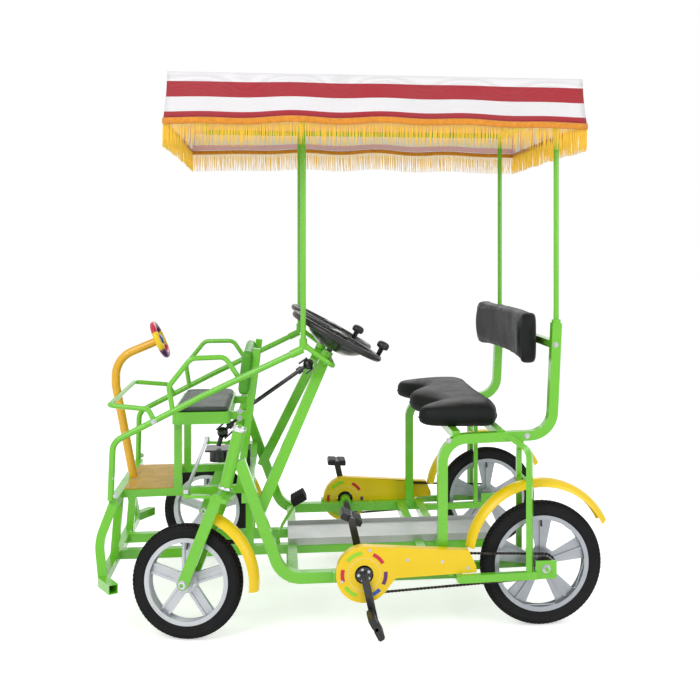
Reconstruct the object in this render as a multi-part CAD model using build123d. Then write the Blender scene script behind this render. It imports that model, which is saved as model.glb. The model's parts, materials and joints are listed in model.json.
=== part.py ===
from build123d import *
import os
from math import atan2, cos, degrees, radians, sin, sqrt, tan

# Two-seat pedal quadricycle with a child bench in front and a fringed canopy.
# Millimetres. -X is the front, +Y the riders' right, +Z up. The wheels stand on Z = 0.
# Table rows of points are (x behind the front axle, y outwards or across, z above the floor).

# Wheels and their places
FRONT_AXLE_X = -569.4
WHEELBASE = 1230.0
TRACK = 950.0
FRONT_TYRE_D = 386.0
REAR_TYRE_D = 435.0
FRONT_RIM_D = 294.0
REAR_RIM_D = 338.0
TYRE_W = 56.0
RIM_W = 44.0
RIM_WALL = 9.0
SPOKES = 5
SPOKE_W = 38.0
SPOKE_T = 16.0
RIB_W = 9.0
WEB_T = 6.0
DISC_T = 9.0
HUB_D = 74.0
HUB_W = 66.0
AXLE_D = 14.0
FIT = 0.3
SEAT_GAP = 0.3

# Frame tubes
RAIL = 38.0
RAIL_Y = 465.0
RAIL_Z = 192.0
RAIL_END_X = 940.0
BEAM_Y = 105.0
BEAM = 34.0
BUMPER = 32.0
BUMPER_WALL = 2.5
BUMPER_X = -292.0
BUMPER_Z = 186.0
HEAD_TUBE_D = 42.0
RAKE = 13.4
KINGPIN_D = 20.0
KINGPIN_X = 127.0
KINGPIN_Z = 503.0
HEAD_TUBE_L = 212.0
STEER_AT_REST = 14.0
STAY = 22.0
STAY_INNER_Y = 408.0
STAY_OUTER_Y = 550.0
COLUMN = 38.0
COLUMN_FOOT = (236.0, 431.0, 395.0)
COLUMN_HEAD = (478.0, 215.0, 915.0)

# Handrails, posts and canopy
HANDRAIL_D = 22.0
HANDRAIL_Y = 330.0
POST_D = 19.0
POST_FRONT_X = 396.0
POST_FRONT_Y = 358.0
POST_REAR_Y = 465.0
UPRIGHT_X = 1290.0
CANOPY_X0 = -70.0
CANOPY_X1 = 1372.0
CANOPY_W = 1130.0
CANOPY_Z = 1805.0
CANOPY_SIDE_H = 160.0
CANOPY_CROWN = 28.0
CANOPY_T = 5.0
CANOPY_INSET = 48.0
FRINGE_H = 92.0
FRINGE_T = 5.0
CANOPY_TUBE = 22.0
CANOPY_TOP_TUBE = 16.0

# Drive
CRANK_X = 599.0
CRANK_Z = 214.0
CRANK_L = 150.0
CRANK_TILT = 12.6
CHAIN_Y = 519.0
CHAINRING_D = 130.0
SPROCKET_D = 72.0
CHAINRING_TEETH = 32
SPROCKET_TEETH = 18
CHAIN_T = 9.0
CHAIN_W = 7.0
CHAIN_GAP = 1.0
GUARD_R = 96.0
GUARD_T = 2.0
GUARD_OUT_Y = 536.0
GUARD_IN_Y = 503.0
SHELL_D = 44.0
SHELL_Y0 = 432.0
SHELL_Y1 = 498.0
ARM_IN_Y = 398.0
ARM_OUT_Y = 548.0
ARM_W = 26.0
ARM_T = 13.0
PEDAL_L = 84.0
PEDAL_W = 92.0
PEDAL_T = 24.0

# Seats
SEAT_Z0 = 684.0
SEAT_T = 74.0
SEAT_Y = 415.0
SEAT_FRAME = 34.0
BACK_Z0 = 905.0
BACK_H = 195.0
BACK_T = 58.0
BENCH_Y = 250.0
BENCH_X0 = -76.0
BENCH_X1 = 132.0
BENCH_Z = 688.0
BENCH_T = 44.0
BENCH_PAD_T = 14.0
PLATFORM_Z = 432.0
PLATFORM_Y = 190.0
STEER_WHEEL_D = 372.0
STEER_RIM_D = 24.0
COLUMN_TILT = 28.8

AXLE_FRONT_Z = FRONT_TYRE_D / 2 + 0.1
AXLE_REAR_Z = REAR_TYRE_D / 2
WHEEL_Y = TRACK / 2
SIDES = {"left": -1, "right": 1}

os.makedirs("parts", exist_ok=True)
nodes = {}


def at(x, y, z, side=1):
    """A point from its table row: x behind the front axle, y on the given side."""
    return Vector(FRONT_AXLE_X + x, y * side, z)


def path_of(points, bend):
    """Straight runs with tangent arcs at the corners."""
    if len(points) == 2:
        return Line(*points)
    return FilletPolyline(*points, radius=bend)


def round_bar(points, diameter, bend=60):
    """A round tube or rod along a path."""
    path = path_of(points, bend)
    section = Plane(origin=path @ 0, z_dir=path % 0) * Circle(diameter / 2)
    return sweep(section, path=path)


def square_bar(points, width, height=None, bend=60, across=(0, 1, 0)):
    """A square or flat tube along a path; width lies along the across direction."""
    path = path_of(points, bend)
    start = Plane(origin=path @ 0, x_dir=Vector(*across), z_dir=path % 0)
    return sweep(start * Rectangle(width, height or width), path=path)


def rod_y(x, z, diameter, y_low, y_high):
    """A cylinder across the vehicle, from y_low to y_high."""
    centre = Vector(x, (y_low + y_high) / 2, z)
    return Location(centre, (90, 0, 0)) * Cylinder(diameter / 2, abs(y_high - y_low))


def block(low, high):
    """A box from its low corner to its high corner."""
    centre = [(a + b) / 2 for a, b in zip(low, high)]
    size = [abs(b - a) for a, b in zip(low, high)]
    return Pos(*centre) * Box(*size)


def flat_link(start, end, width, y_low, y_high):
    """A flat bar with round ends in the XZ plane; start and end are (x, z)."""
    middle = Vector((start[0] + end[0]) / 2, 0, (start[1] + end[1]) / 2)
    length = sqrt((end[0] - start[0]) ** 2 + (end[1] - start[1]) ** 2)
    angle = degrees(atan2(end[1] - start[1], end[0] - start[0]))
    face = Plane(origin=(middle.X, y_high, middle.Z), x_dir=(1, 0, 0), z_dir=(0, -1, 0))
    return extrude(face * Rot(0, 0, angle) * SlotCenterToCenter(length, width), amount=y_high - y_low)


def joined(pieces):
    """The pieces welded into one solid."""
    result = pieces[0]
    for piece in pieces[1:]:
        result = result + piece
    return result


def mirrored(shape):
    """The same piece on the other side of the vehicle."""
    return mirror(shape, about=Plane.XZ)


def keep(name, *shapes):
    """Holds a node's solids under its name."""
    solids = [solid for shape in shapes for solid in shape.solids()]
    nodes[name] = solids[0] if len(solids) == 1 else Compound(children=solids)


# Kingpin: the axis that a front fork turns about, leaning back at the top
def kingpin_axis(side):
    """The steering axis of one side, pointing up."""
    lean = (sin(radians(RAKE)), 0, cos(radians(RAKE)))
    return Axis(at(KINGPIN_X, WHEEL_Y, KINGPIN_Z, side), lean)


def steered(shape, side):
    """Turns a piece on the fork to the angle at which it is parked, to the right."""
    return shape.rotate(kingpin_axis(side), -STEER_AT_REST)


# Wheels
def tyre(centre, diameter, rim_diameter):
    """A closed tyre with a round crown over a flat bead."""
    bead = rim_diameter / 2
    crown = diameter / 2
    half = TYRE_W / 2
    with BuildSketch(Plane(origin=centre, x_dir=(0, 1, 0), z_dir=(-1, 0, 0))) as section:
        with BuildLine():
            Line((-RIM_W / 2 + 2, bead), (RIM_W / 2 - 2, bead))
            ThreePointArc((RIM_W / 2 - 2, bead), (half, (bead + crown) / 2 - 2), (half * 0.72, crown - 8))
            ThreePointArc((half * 0.72, crown - 8), (0, crown), (-half * 0.72, crown - 8))
            ThreePointArc((-half * 0.72, crown - 8), (-half, (bead + crown) / 2 - 2), (-RIM_W / 2 + 2, bead))
        make_face()
    return revolve(section.sketch, axis=Axis(centre, (0, 1, 0)))


def ribbed_spokes(reach):
    """Front wheel: thin spokes, each stiffened by two ribs along its edges."""
    web = Pos(reach / 2, 0, 0) * Box(reach, SPOKE_W - RIB_W, WEB_T)
    ribs = [Pos(reach / 2, edge * (SPOKE_W - RIB_W) / 2, 0) * Box(reach, RIB_W, SPOKE_T) for edge in (-1, 1)]
    return [Rot(0, 0, 90 + i * 360 / SPOKES) * piece for i in range(SPOKES) for piece in [web] + ribs]


def windowed_disc(reach):
    """Rear wheel: a disc with a rounded tapered window between each pair of broad spokes."""
    inner = HUB_D / 2 + 16
    outer = reach - RIM_WALL - 4
    window = make_face(Polyline((inner, -inner * 0.3), (outer, -outer * 0.4), (outer, outer * 0.4), (inner, inner * 0.3),
                                close=True))
    window = fillet(window.vertices(), 10)
    face = Circle(reach)
    for i in range(SPOKES):
        face = face - Rot(0, 0, 90 + (i + 0.5) * 360 / SPOKES) * window
    disc = Pos(0, 0, -DISC_T / 2) * extrude(face, amount=DISC_T)
    step = HUB_D / 2 + reach
    spine = [Rot(0, 0, 90 + i * 360 / SPOKES) * Pos(step / 2, 0, 0) * Box(reach - HUB_D / 2, RIB_W, SPOKE_T + 4)
             for i in range(SPOKES)]
    return [disc] + spine


def rim(centre, diameter, bore, spokes_of):
    """A cast wheel: rim ring with its lips, hub barrel and spokes, bored for its axle."""
    outer = diameter / 2 - SEAT_GAP / 3
    turn = Location(centre, (90, 0, 0))
    ring = Cylinder(outer, RIM_W) - Cylinder(outer - RIM_WALL, RIM_W)
    for face_side in (-1, 1):
        lip = Cylinder(outer, 4) - Cylinder(outer - RIM_WALL - 6, 4)
        ring = ring + Pos(0, 0, face_side * (RIM_W / 2 - 2)) * lip
    hub = Cylinder(HUB_D / 2, RIM_W - 8) + Cylinder(HUB_D / 2 - 12, HUB_W)
    body = joined([ring, hub] + spokes_of(outer - RIM_WALL / 2)) - Cylinder(bore / 2, HUB_W * 2)
    return turn * body


def toothed(diameter, teeth):
    """A sprocket's face: a disc with a ring of short teeth inside the given diameter."""
    tooth_h = 5.0
    tooth_w = 3.2
    face = Circle(diameter / 2 - tooth_h + 0.5)
    return face + PolarLocations(diameter / 2 - tooth_h / 2, teeth) * Rectangle(tooth_h, tooth_w)


for side_name, side in SIDES.items():
    front = at(0, WHEEL_Y, AXLE_FRONT_Z, side)
    rear = at(WHEELBASE, WHEEL_Y, AXLE_REAR_Z, side)
    keep(f"tyre_front_{side_name}", steered(tyre(front, FRONT_TYRE_D, FRONT_RIM_D), side))
    keep(f"rim_front_{side_name}", steered(rim(front, FRONT_RIM_D, AXLE_D + 2 * FIT, ribbed_spokes), side))
    keep(f"tyre_rear_{side_name}", tyre(rear, REAR_TYRE_D, REAR_RIM_D))
    keep(f"rim_rear_{side_name}", rim(rear, REAR_RIM_D, AXLE_D + 2 * FIT, windowed_disc))

# Front forks: steerer, crown over the tyre, two flat legs, axle and steering arm
FORK_LEG_Y = 50.0
FORK_LEG_W = 38.0
FORK_LEG_T = 14.0
CROWN_Z = 478.0
CROWN_X = KINGPIN_X - (KINGPIN_Z - CROWN_Z) * tan(radians(RAKE))
CROWN_SIZE = (56.0, 118.0, 16.0)
ARM_BALL_X = -8.0
ARM_BALL_D = 24.0
ARM_BALL_H = 16.0


def arm_ball(side):
    """The centre of the steering arm's ball, before the fork is turned."""
    return at(ARM_BALL_X, WHEEL_Y, CROWN_Z, side)


def fork(side):
    """The fork with its axle, standing straight ahead."""
    crown_centre = at(CROWN_X, WHEEL_Y, CROWN_Z, side)
    crown = Location(crown_centre, (0, RAKE, 0)) * Box(*CROWN_SIZE)
    axis = kingpin_axis(side)
    pin_start = crown_centre
    pin_end = axis.position + axis.direction * (HEAD_TUBE_L + 14)
    pin = round_bar([pin_start, pin_end], KINGPIN_D)
    hub = at(0, WHEEL_Y, AXLE_FRONT_Z, side)
    pieces = [crown, pin, rod_y(hub.X, hub.Z, AXLE_D, hub.Y - 64, hub.Y + 64)]
    for leg_side in (-1, 1):
        middle = hub.Y + leg_side * FORK_LEG_Y
        pieces.append(flat_link((crown_centre.X - 8, CROWN_Z), (hub.X, hub.Z), FORK_LEG_W,
                                middle - FORK_LEG_T / 2, middle + FORK_LEG_T / 2))
    ball = arm_ball(side)
    pieces.append(square_bar([crown_centre, ball], 30, 10))
    pieces.append(Pos(ball) * Cylinder(ARM_BALL_D / 2, ARM_BALL_H))
    return joined(pieces)


for side_name, side in SIDES.items():
    keep(f"fork_{side_name}", steered(fork(side), side))


# Mudguards: a crowned strip turned about a centre near the wheel's
GUARD_SPAN = 37.0
GUARD_SAG = 26.0
GUARD_WALL = 3.0


def mudguard(centre, radius, start, end):
    """A crowned strip from the start to the end angle, both counted from the rear, upwards."""
    low = radius - GUARD_SAG
    with BuildSketch(Plane(origin=centre, x_dir=(0, 1, 0), z_dir=(1, 0, 0))) as section:
        with BuildLine():
            ThreePointArc((-GUARD_SPAN, low), (0, radius), (GUARD_SPAN, low))
            Line((GUARD_SPAN, low), (GUARD_SPAN - GUARD_WALL, low))
            ThreePointArc((GUARD_SPAN - GUARD_WALL, low), (0, radius - GUARD_WALL), (-GUARD_SPAN + GUARD_WALL, low))
            Line((-GUARD_SPAN + GUARD_WALL, low), (-GUARD_SPAN, low))
        make_face()
    strip = revolve(section.sketch, axis=Axis(centre, (0, 1, 0)), revolution_arc=end - start)
    return strip.rotate(Axis(centre, (0, 1, 0)), 90 - end)


FRONT_GUARD_R = 250.0
REAR_GUARD_R = 268.0
REAR_GUARD_LIFT = 30.0
for side_name, side in SIDES.items():
    hub = at(0, WHEEL_Y, AXLE_FRONT_Z, side)
    strip = mudguard(hub, FRONT_GUARD_R, -6, 68)
    tab_x = CROWN_X - 26
    strip = strip + block(at(tab_x, WHEEL_Y - 15, AXLE_FRONT_Z + FRONT_GUARD_R - 22, side),
                          at(tab_x + 4, WHEEL_Y + 15, CROWN_Z, side))
    keep(f"mudguard_front_{side_name}", steered(strip - fork(side), side))
rear_guards = [mudguard(at(WHEELBASE - 4, WHEEL_Y, AXLE_REAR_Z + REAR_GUARD_LIFT, side), REAR_GUARD_R, 26, 172)
               for side in SIDES.values()]

# Side frames: head tube, bent rail, crank shell, rear fork stays and dropouts
RAIL_POINTS = [  # x, y, z
    (176, RAIL_Y, 600),
    (322, RAIL_Y, RAIL_Z),
    (RAIL_END_X, RAIL_Y, RAIL_Z),
]
DROPOUT = (74.0, 8.0, 62.0)


def side_frame(side):
    """One side of the chassis, welded."""
    axis = kingpin_axis(side)
    head = round_bar([axis.position, axis.position + axis.direction * HEAD_TUBE_L], HEAD_TUBE_D)
    bore = round_bar([axis.position - axis.direction * 20, axis.position + axis.direction * (HEAD_TUBE_L + 20)],
                     KINGPIN_D + 2 * FIT)
    rail = square_bar([at(*row, side) for row in RAIL_POINTS], RAIL, bend=95)
    shell = rod_y(FRONT_AXLE_X + CRANK_X, CRANK_Z, SHELL_D, side * SHELL_Y0, side * SHELL_Y1)
    shell_bore = rod_y(FRONT_AXLE_X + CRANK_X, CRANK_Z, AXLE_D + 6 + 2 * FIT, side * (SHELL_Y0 - 40), side * (SHELL_Y1 + 40))
    bridge_x = RAIL_END_X - STAY / 2
    bridge = square_bar([at(bridge_x, STAY_INNER_Y - STAY / 2, RAIL_Z, side),
                         at(bridge_x, STAY_OUTER_Y + STAY / 2, RAIL_Z, side)], STAY, across=(1, 0, 0))
    pieces = [head, rail, shell, bridge]
    for stay_y in (STAY_INNER_Y, STAY_OUTER_Y):
        pieces.append(square_bar([at(bridge_x, stay_y, RAIL_Z, side),
                                  at(WHEELBASE - 30, stay_y, RAIL_Z + 4, side)], STAY, 26))
        plate = at(WHEELBASE, stay_y, AXLE_REAR_Z - 4, side)
        pieces.append(Pos(plate) * Box(DROPOUT[0], DROPOUT[1], DROPOUT[2]))
    rail_face = RAIL_Y + RAIL / 2 - 2
    pieces.append(block(at(CRANK_X + 294, rail_face, RAIL_Z + 6, side),
                        at(CRANK_X + 306, GUARD_OUT_Y - GUARD_T - SEAT_GAP, CRANK_Z + 26, side)))
    pieces.append(block(at(CRANK_X - GUARD_R - 10, rail_face, RAIL_Z - 4, side),
                        at(CRANK_X - GUARD_R - SEAT_GAP, GUARD_IN_Y + 20, CRANK_Z + 6, side)))
    axle = rod_y(FRONT_AXLE_X + WHEELBASE, AXLE_REAR_Z, AXLE_D,
                 side * (STAY_INNER_Y - 14), side * (STAY_OUTER_Y + 20))
    return joined(pieces) - bore - shell_bore + axle


for side_name, side in SIDES.items():
    keep(f"side_frame_{side_name}", side_frame(side))
frames = [nodes["side_frame_left"], nodes["side_frame_right"]]

# Centre frame: two long beams, cross tubes between the side frames, and a stub foot
HEAD_CROSS_X = 200.0
HEAD_CROSS_Z = 470.0
CROSS_TUBES = [  # x, z, y reach on each side
    (HEAD_CROSS_X, HEAD_CROSS_Z, 470),
    (360, RAIL_Z, 470),
    (840, RAIL_Z, 470),
    (922, RAIL_Z, 470),
]
BEAM_END_X = 1150.0
centre_pieces = []
for x, z, reach in CROSS_TUBES:
    centre_pieces.append(square_bar([at(x, -reach, z), at(x, reach, z)], BEAM, across=(1, 0, 0)))
for side in SIDES.values():
    centre_pieces.append(square_bar([at(BUMPER_X + BUMPER / 2, BEAM_Y, BUMPER_Z, side),
                                     at(BEAM_END_X, BEAM_Y, BUMPER_Z, side)], BEAM))
centre_pieces.append(square_bar([at(350, -BEAM_Y, 190), at(350, -BEAM_Y, 120)], 24))
for side in SIDES.values():
    centre_pieces.append(square_bar([at(HEAD_CROSS_X, BEAM_Y, HEAD_CROSS_Z, side),
                                     at(HEAD_CROSS_X, BEAM_Y, BUMPER_Z, side)], 30))
centre_frame = joined(centre_pieces)
for frame_side in frames:
    centre_frame = centre_frame - frame_side
keep("centre_frame", centre_frame.solids().sort_by(SortBy.VOLUME)[-1])

# Bumper: a bent square tube, open at its ends, with bowed legs up to the upper bar
BUMPER_POINTS = [(-240, -505), (BUMPER_X, -415), (BUMPER_X, 415), (-240, 505)]  # x, y
UPPER_BAR_X = -268.0
bumper_line = [at(x, y, BUMPER_Z) for x, y in BUMPER_POINTS]
bumper = square_bar(bumper_line, BUMPER, bend=40, across=(0, 0, 1))
hollow = square_bar(bumper_line, BUMPER - 2 * BUMPER_WALL, bend=40, across=(0, 0, 1))
upper_bar = square_bar([at(UPPER_BAR_X, -HANDRAIL_Y, PLATFORM_Z), at(UPPER_BAR_X, HANDRAIL_Y, PLATFORM_Z)], 30,
                       across=(1, 0, 0))
front_pieces = [bumper, upper_bar]
for side in SIDES.values():
    front_pieces.append(square_bar([at(UPPER_BAR_X, HANDRAIL_Y - 15, PLATFORM_Z, side),
                                    at(BUMPER_X - 18, 372, 310, side),
                                    at(BUMPER_X, 400, BUMPER_Z, side)], 30, bend=150, across=(0, 1, 0)))
    front_pieces.append(square_bar([at(UPPER_BAR_X, PLATFORM_Y, PLATFORM_Z, side),
                                    at(BUMPER_X + 4, PLATFORM_Y, BUMPER_Z, side)], 28))
    front_pieces.append(square_bar([at(UPPER_BAR_X, PLATFORM_Y, PLATFORM_Z, side),
                                    at(HEAD_CROSS_X, PLATFORM_Y, PLATFORM_Z + 6, side)], 28))
front_frame = joined(front_pieces) - hollow
keep("front_frame", front_frame - nodes["centre_frame"])

# Child bench: legs, seat pan and pad, back posts and back panel, foot board
LEG = 28.0
BACK_POST_T = 26.0
BACK_POST = [(166, PLATFORM_Z), (229, 955)]  # x, z at the foot and the head
bench_pieces = []
for side in SIDES.values():
    bench_pieces.append(block(at(-58 - LEG / 2, side * (PLATFORM_Y - LEG / 2), PLATFORM_Z + 14),
                              at(-58 + LEG / 2, side * (PLATFORM_Y + LEG / 2), BENCH_Z)))
    post = square_bar([at(x, PLATFORM_Y, z + (14 if i == 0 else 0), side) for i, (x, z) in enumerate(BACK_POST)],
                      LEG, BACK_POST_T)
    arm = block(at(BENCH_X1, side * (PLATFORM_Y - LEG / 2), BENCH_Z + 8),
                at(198, side * (PLATFORM_Y + LEG / 2), BENCH_Z + BENCH_T - 8))
    bench_pieces.append(post + arm)
pan = block(at(BENCH_X0, -BENCH_Y, BENCH_Z), at(BENCH_X1, BENCH_Y, BENCH_Z + BENCH_T))
pan = fillet(pan.edges().filter_by(Axis.Z), 22)
keep("bench_frame", joined([pan] + bench_pieces) - nodes["front_frame"] - nodes["centre_frame"])
pad = block(at(BENCH_X0 + 6, -BENCH_Y + 6, BENCH_Z + BENCH_T + SEAT_GAP),
            at(BENCH_X1 - 6, BENCH_Y - 6, BENCH_Z + BENCH_T + SEAT_GAP + BENCH_PAD_T))
keep("bench_pad", fillet(pad.edges().filter_by(Axis.Z), 20))
(foot_x, foot_z), (head_x, head_z) = BACK_POST
back_lean = atan2(head_x - foot_x, head_z - foot_z)
PANEL_Z = 866.0
panel_x = foot_x + (PANEL_Z - foot_z) * tan(back_lean) - (BACK_POST_T / 2 + SEAT_GAP) / cos(back_lean)
panel_plane = Plane(origin=at(panel_x, 0, PANEL_Z), x_dir=(0, 1, 0), z_dir=(-cos(back_lean), 0, sin(back_lean)))
panel = extrude(panel_plane * RectangleRounded(2 * BENCH_Y - 30, 172, 26), amount=34)
keep("bench_back", panel - nodes["bench_frame"])
board = block(at(-250, -PLATFORM_Y - 12, PLATFORM_Z + 15), at(-74, PLATFORM_Y + 12, PLATFORM_Z + 19))
keep("foot_board", board - nodes["front_frame"])

# Toy steering post and wheel for the child
TOY_WHEEL_D = 150.0
TOY_CENTRE = (-146.0, 0.0, 974.0)
TOY_TILT = 66.0
TOY_BACK = 10.0
TOY_POST_POINTS = [(-246, 0, PLATFORM_Z + 17), (-312, 0, 800), (-312, 0, 905),
                   (TOY_CENTRE[0] - TOY_BACK * sin(radians(TOY_TILT)), 0,
                    TOY_CENTRE[2] - TOY_BACK * cos(radians(TOY_TILT)))]
toy_post = round_bar([at(*row) for row in TOY_POST_POINTS], 32, bend=100) - nodes["front_frame"] - nodes["foot_board"]
keep("toy_post", toy_post)
toy_place = Location(at(*TOY_CENTRE), (0, TOY_TILT, 0))
toy_ring = Torus(TOY_WHEEL_D / 2 - 11, 11)
toy_spokes = [Rot(0, 0, 60 * i) * Box(TOY_WHEEL_D - 24, 16, 8) for i in range(3)]
toy_hub = Cylinder(24, 22)
keep("toy_wheel", toy_place * joined([toy_ring, toy_hub] + toy_spokes) - toy_post)

# Handrails with their grab loops, and the fixed bar in front of the child
HANDRAIL_POINTS = [  # x, y, z
    (-276, HANDRAIL_Y + 12, PLATFORM_Z + 12),
    (-270, HANDRAIL_Y, 645),
    (40, HANDRAIL_Y, 802),
    (POST_FRONT_X - 6, POST_FRONT_Y, 966),
]
LOOP_POINTS = [(-64, 748), (-78, 838), (0, 936), (118, 938), (168, 862)]  # x, z
LAP_POINTS = [(-128, HANDRAIL_Y - 6, 716), (-150, HANDRAIL_Y - 8, 758), (-286, HANDRAIL_Y - 20, 772)]
rail_pieces = []
for side in SIDES.values():
    handrail = round_bar([at(*row, side) for row in HANDRAIL_POINTS], HANDRAIL_D, bend=50)
    loop = round_bar([at(x, HANDRAIL_Y - (4 if x < 100 else 18), z, side) for x, z in LOOP_POINTS], 18, bend=34)
    rail_pieces.append(handrail + loop)
lap_line = [at(*row, -1) for row in LAP_POINTS] + [at(*row, 1) for row in reversed(LAP_POINTS)]
lap_bar = round_bar(lap_line, 18, bend=22)
rails = rail_pieces[0] + lap_bar + rail_pieces[1]
keep("handrails", rails - nodes["front_frame"] - toy_post)

# Steering columns with a bush for each wheel's stem, the hoop that ties them, and the front posts
STEER_CENTRE = (524.0, COLUMN_HEAD[1], 1000.0)
STEM_D = 22.0
STEM_END = 90.0
BUSH_TOP = 64.0
BUSH_L = 36.0


def steer_place(side):
    """Where a steering wheel sits, its face tilted back."""
    return Location(at(*STEER_CENTRE, side), (0, COLUMN_TILT, 0))


column_pieces = []
for side in SIDES.values():
    column_pieces.append(square_bar([at(*COLUMN_FOOT, side), at(*COLUMN_HEAD, side)], COLUMN))
HOOP_BACK_X = 503.0
HOOP_Z = 904.0
HOOP_TOP_Z = 985.0
POST_TOP_Z = CANOPY_Z + CANOPY_TUBE
hoop_line = [at(POST_FRONT_X, POST_FRONT_Y, POST_TOP_Z, -1), at(POST_FRONT_X, POST_FRONT_Y, HOOP_TOP_Z, -1),
             at(HOOP_BACK_X, POST_FRONT_Y, HOOP_Z, -1), at(HOOP_BACK_X, POST_FRONT_Y, HOOP_Z, 1),
             at(POST_FRONT_X, POST_FRONT_Y, HOOP_TOP_Z, 1), at(POST_FRONT_X, POST_FRONT_Y, POST_TOP_Z, 1)]
hoop = round_bar(hoop_line, POST_D, bend=38)
columns = joined(column_pieces)
for frame_side in frames:
    columns = columns - frame_side
cross_shaft = square_bar([at(452, -COLUMN_HEAD[1], 862), at(452, COLUMN_HEAD[1], 862)], 26, across=(1, 0, 0))
columns = columns + cross_shaft
for side in SIDES.values():
    bush = Pos(0, 0, -BUSH_TOP - BUSH_L / 2) * Cylinder(STEM_D / 2 + 8, BUSH_L)
    bush_bore = Pos(0, 0, -BUSH_TOP - (BUSH_L - 4) / 2) * Cylinder(STEM_D / 2 + FIT, BUSH_L - 4)
    columns = columns + steer_place(side) * bush - steer_place(side) * bush_bore
keep("steering_columns", columns - hoop)

# Steering gear: shaft with its joints, box on the cross tube, and the tie bar below
SHAFT_POINTS = [(424, 0, 872), (215, 0, 726), (92, 0, 612), (76, 0, 560)]
shaft = round_bar([at(*SHAFT_POINTS[0]), at(*SHAFT_POINTS[1])], 16) \
    + round_bar([at(*SHAFT_POINTS[1]), at(*SHAFT_POINTS[2])], 13)
for x, y, z in (SHAFT_POINTS[0], SHAFT_POINTS[2]):
    shaft = shaft + Pos(at(x, y, z)) * Sphere(21)
shaft = shaft + round_bar([at(*SHAFT_POINTS[2]), at(*SHAFT_POINTS[3])], 18)
gear_plate = block(at(28, -55, 546), at(200, 55, 553))
gear_post = block(at(180, -40, HEAD_CROSS_Z + BEAM / 2), at(200, 40, 553))
drum = Pos(at(76, 0, 524)) * Cylinder(34, 44)
keep("steering_gear", (shaft + gear_plate + gear_post + drum) - nodes["steering_columns"] - nodes["centre_frame"])


def steer_wheel(side):
    """A steering wheel: thick rim, two broad spokes, boss and spinner knob."""
    ring = Torus((STEER_WHEEL_D - STEER_RIM_D) / 2, STEER_RIM_D / 2)
    boss = Cylinder(40, 30) + Pos(0, 0, -26) * Cone(16, 40, 24)
    spokes = [Rot(0, 0, 90 + 120 * i) * Pos(85, 0, -4) * Box(170, 44, 8) for i in range(3)]
    knob_x = STEER_WHEEL_D / 2 - STEER_RIM_D / 2
    knob_turn = Rot(0, 0, 8 if side < 0 else -60)
    knob = knob_turn * (Pos(knob_x, 0, 24) * Cylinder(7, 36) + Pos(knob_x, 0, 50) * Cylinder(20, 18))
    stem = Pos(0, 0, -(STEM_END + 30) / 2) * Cylinder(STEM_D / 2, STEM_END - 30)
    return joined([ring, boss, stem] + spokes + [knob])


for side_name, side in SIDES.items():
    keep(f"steering_wheel_{side_name}", steer_place(side) * steer_wheel(side))

# Tie rod between the two steering arms, lying on their ends
TIE_POINT = {}
for side in SIDES.values():
    pin = Pos(arm_ball(side)) * Sphere(1)
    TIE_POINT[side] = steered(pin, side).center()
TIE_ROD_D = 14.0
TIE_GAP = 1.6
tie_lift = Vector(0, 0, ARM_BALL_H / 2 + TIE_GAP + TIE_ROD_D / 2)
tie_ends = [TIE_POINT[side] + tie_lift for side in SIDES.values()]
tie_rod = round_bar(tie_ends, TIE_ROD_D)
for end in tie_ends:
    tie_rod = tie_rod + Pos(end) * Cylinder(ARM_BALL_D / 2, TIE_ROD_D)
keep("tie_rod", tie_rod)

# Rear seat frame: bent legs, rails, uprights with post sockets, and stays over the wheels
SEAT_RAIL_Z = SEAT_Z0 - SEAT_FRAME / 2 - SEAT_GAP
seat_pieces = []
for side in SIDES.values():
    hoop_rail = square_bar([at(880, RAIL_Y, RAIL_Z + RAIL / 2, side), at(880, RAIL_Y, SEAT_RAIL_Z - 10, side),
                            at(1272, RAIL_Y, SEAT_RAIL_Z, side), at(UPRIGHT_X, POST_REAR_Y, 1062, side)],
                           SEAT_FRAME, bend=85)
    outer_leg = square_bar([at(1110, RAIL_Y + 4, SEAT_RAIL_Z, side), at(1172, STAY_OUTER_Y, SEAT_RAIL_Z - 40, side),
                            at(1172, STAY_OUTER_Y, RAIL_Z + STAY / 2, side)], 20, bend=40)
    inner_leg = square_bar([at(1168, RAIL_Y - 8, SEAT_RAIL_Z, side), at(1168, STAY_INNER_Y, SEAT_RAIL_Z - 60, side),
                            at(1168, STAY_INNER_Y, RAIL_Z + STAY / 2, side)], 18, bend=30)
    seat_pieces.extend([hoop_rail, outer_leg, inner_leg])
SEAT_CROSS = 28.0
for x in (930, 1090):
    cross_z = SEAT_Z0 - SEAT_CROSS / 2
    seat_pieces.append(square_bar([at(x, -RAIL_Y, cross_z), at(x, RAIL_Y, cross_z)], SEAT_CROSS, across=(1, 0, 0)))
BACK_CROSS = 26.0
BACK_CROSS_X = 1284.0
seat_pieces.append(square_bar([at(BACK_CROSS_X, -POST_REAR_Y, 985), at(BACK_CROSS_X, POST_REAR_Y, 985)], BACK_CROSS,
                              across=(1, 0, 0)))
GUARD_BAR_D = 10.0
GUARD_BAR_X = 1172.0
guard_reach = REAR_GUARD_R + SEAT_GAP + GUARD_BAR_D / 2
guard_bar_z = AXLE_REAR_Z + REAR_GUARD_LIFT + sqrt(guard_reach ** 2 - (WHEELBASE - 4 - GUARD_BAR_X) ** 2)
for side in SIDES.values():
    seat_pieces.append(rod_y(FRONT_AXLE_X + GUARD_BAR_X, guard_bar_z, GUARD_BAR_D,
                             side * STAY_INNER_Y, side * STAY_OUTER_Y))
seat_frame = joined(seat_pieces)
for frame_side in frames:
    seat_frame = seat_frame - frame_side
keep("seat_frame", seat_frame)
rear_posts = []
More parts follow.
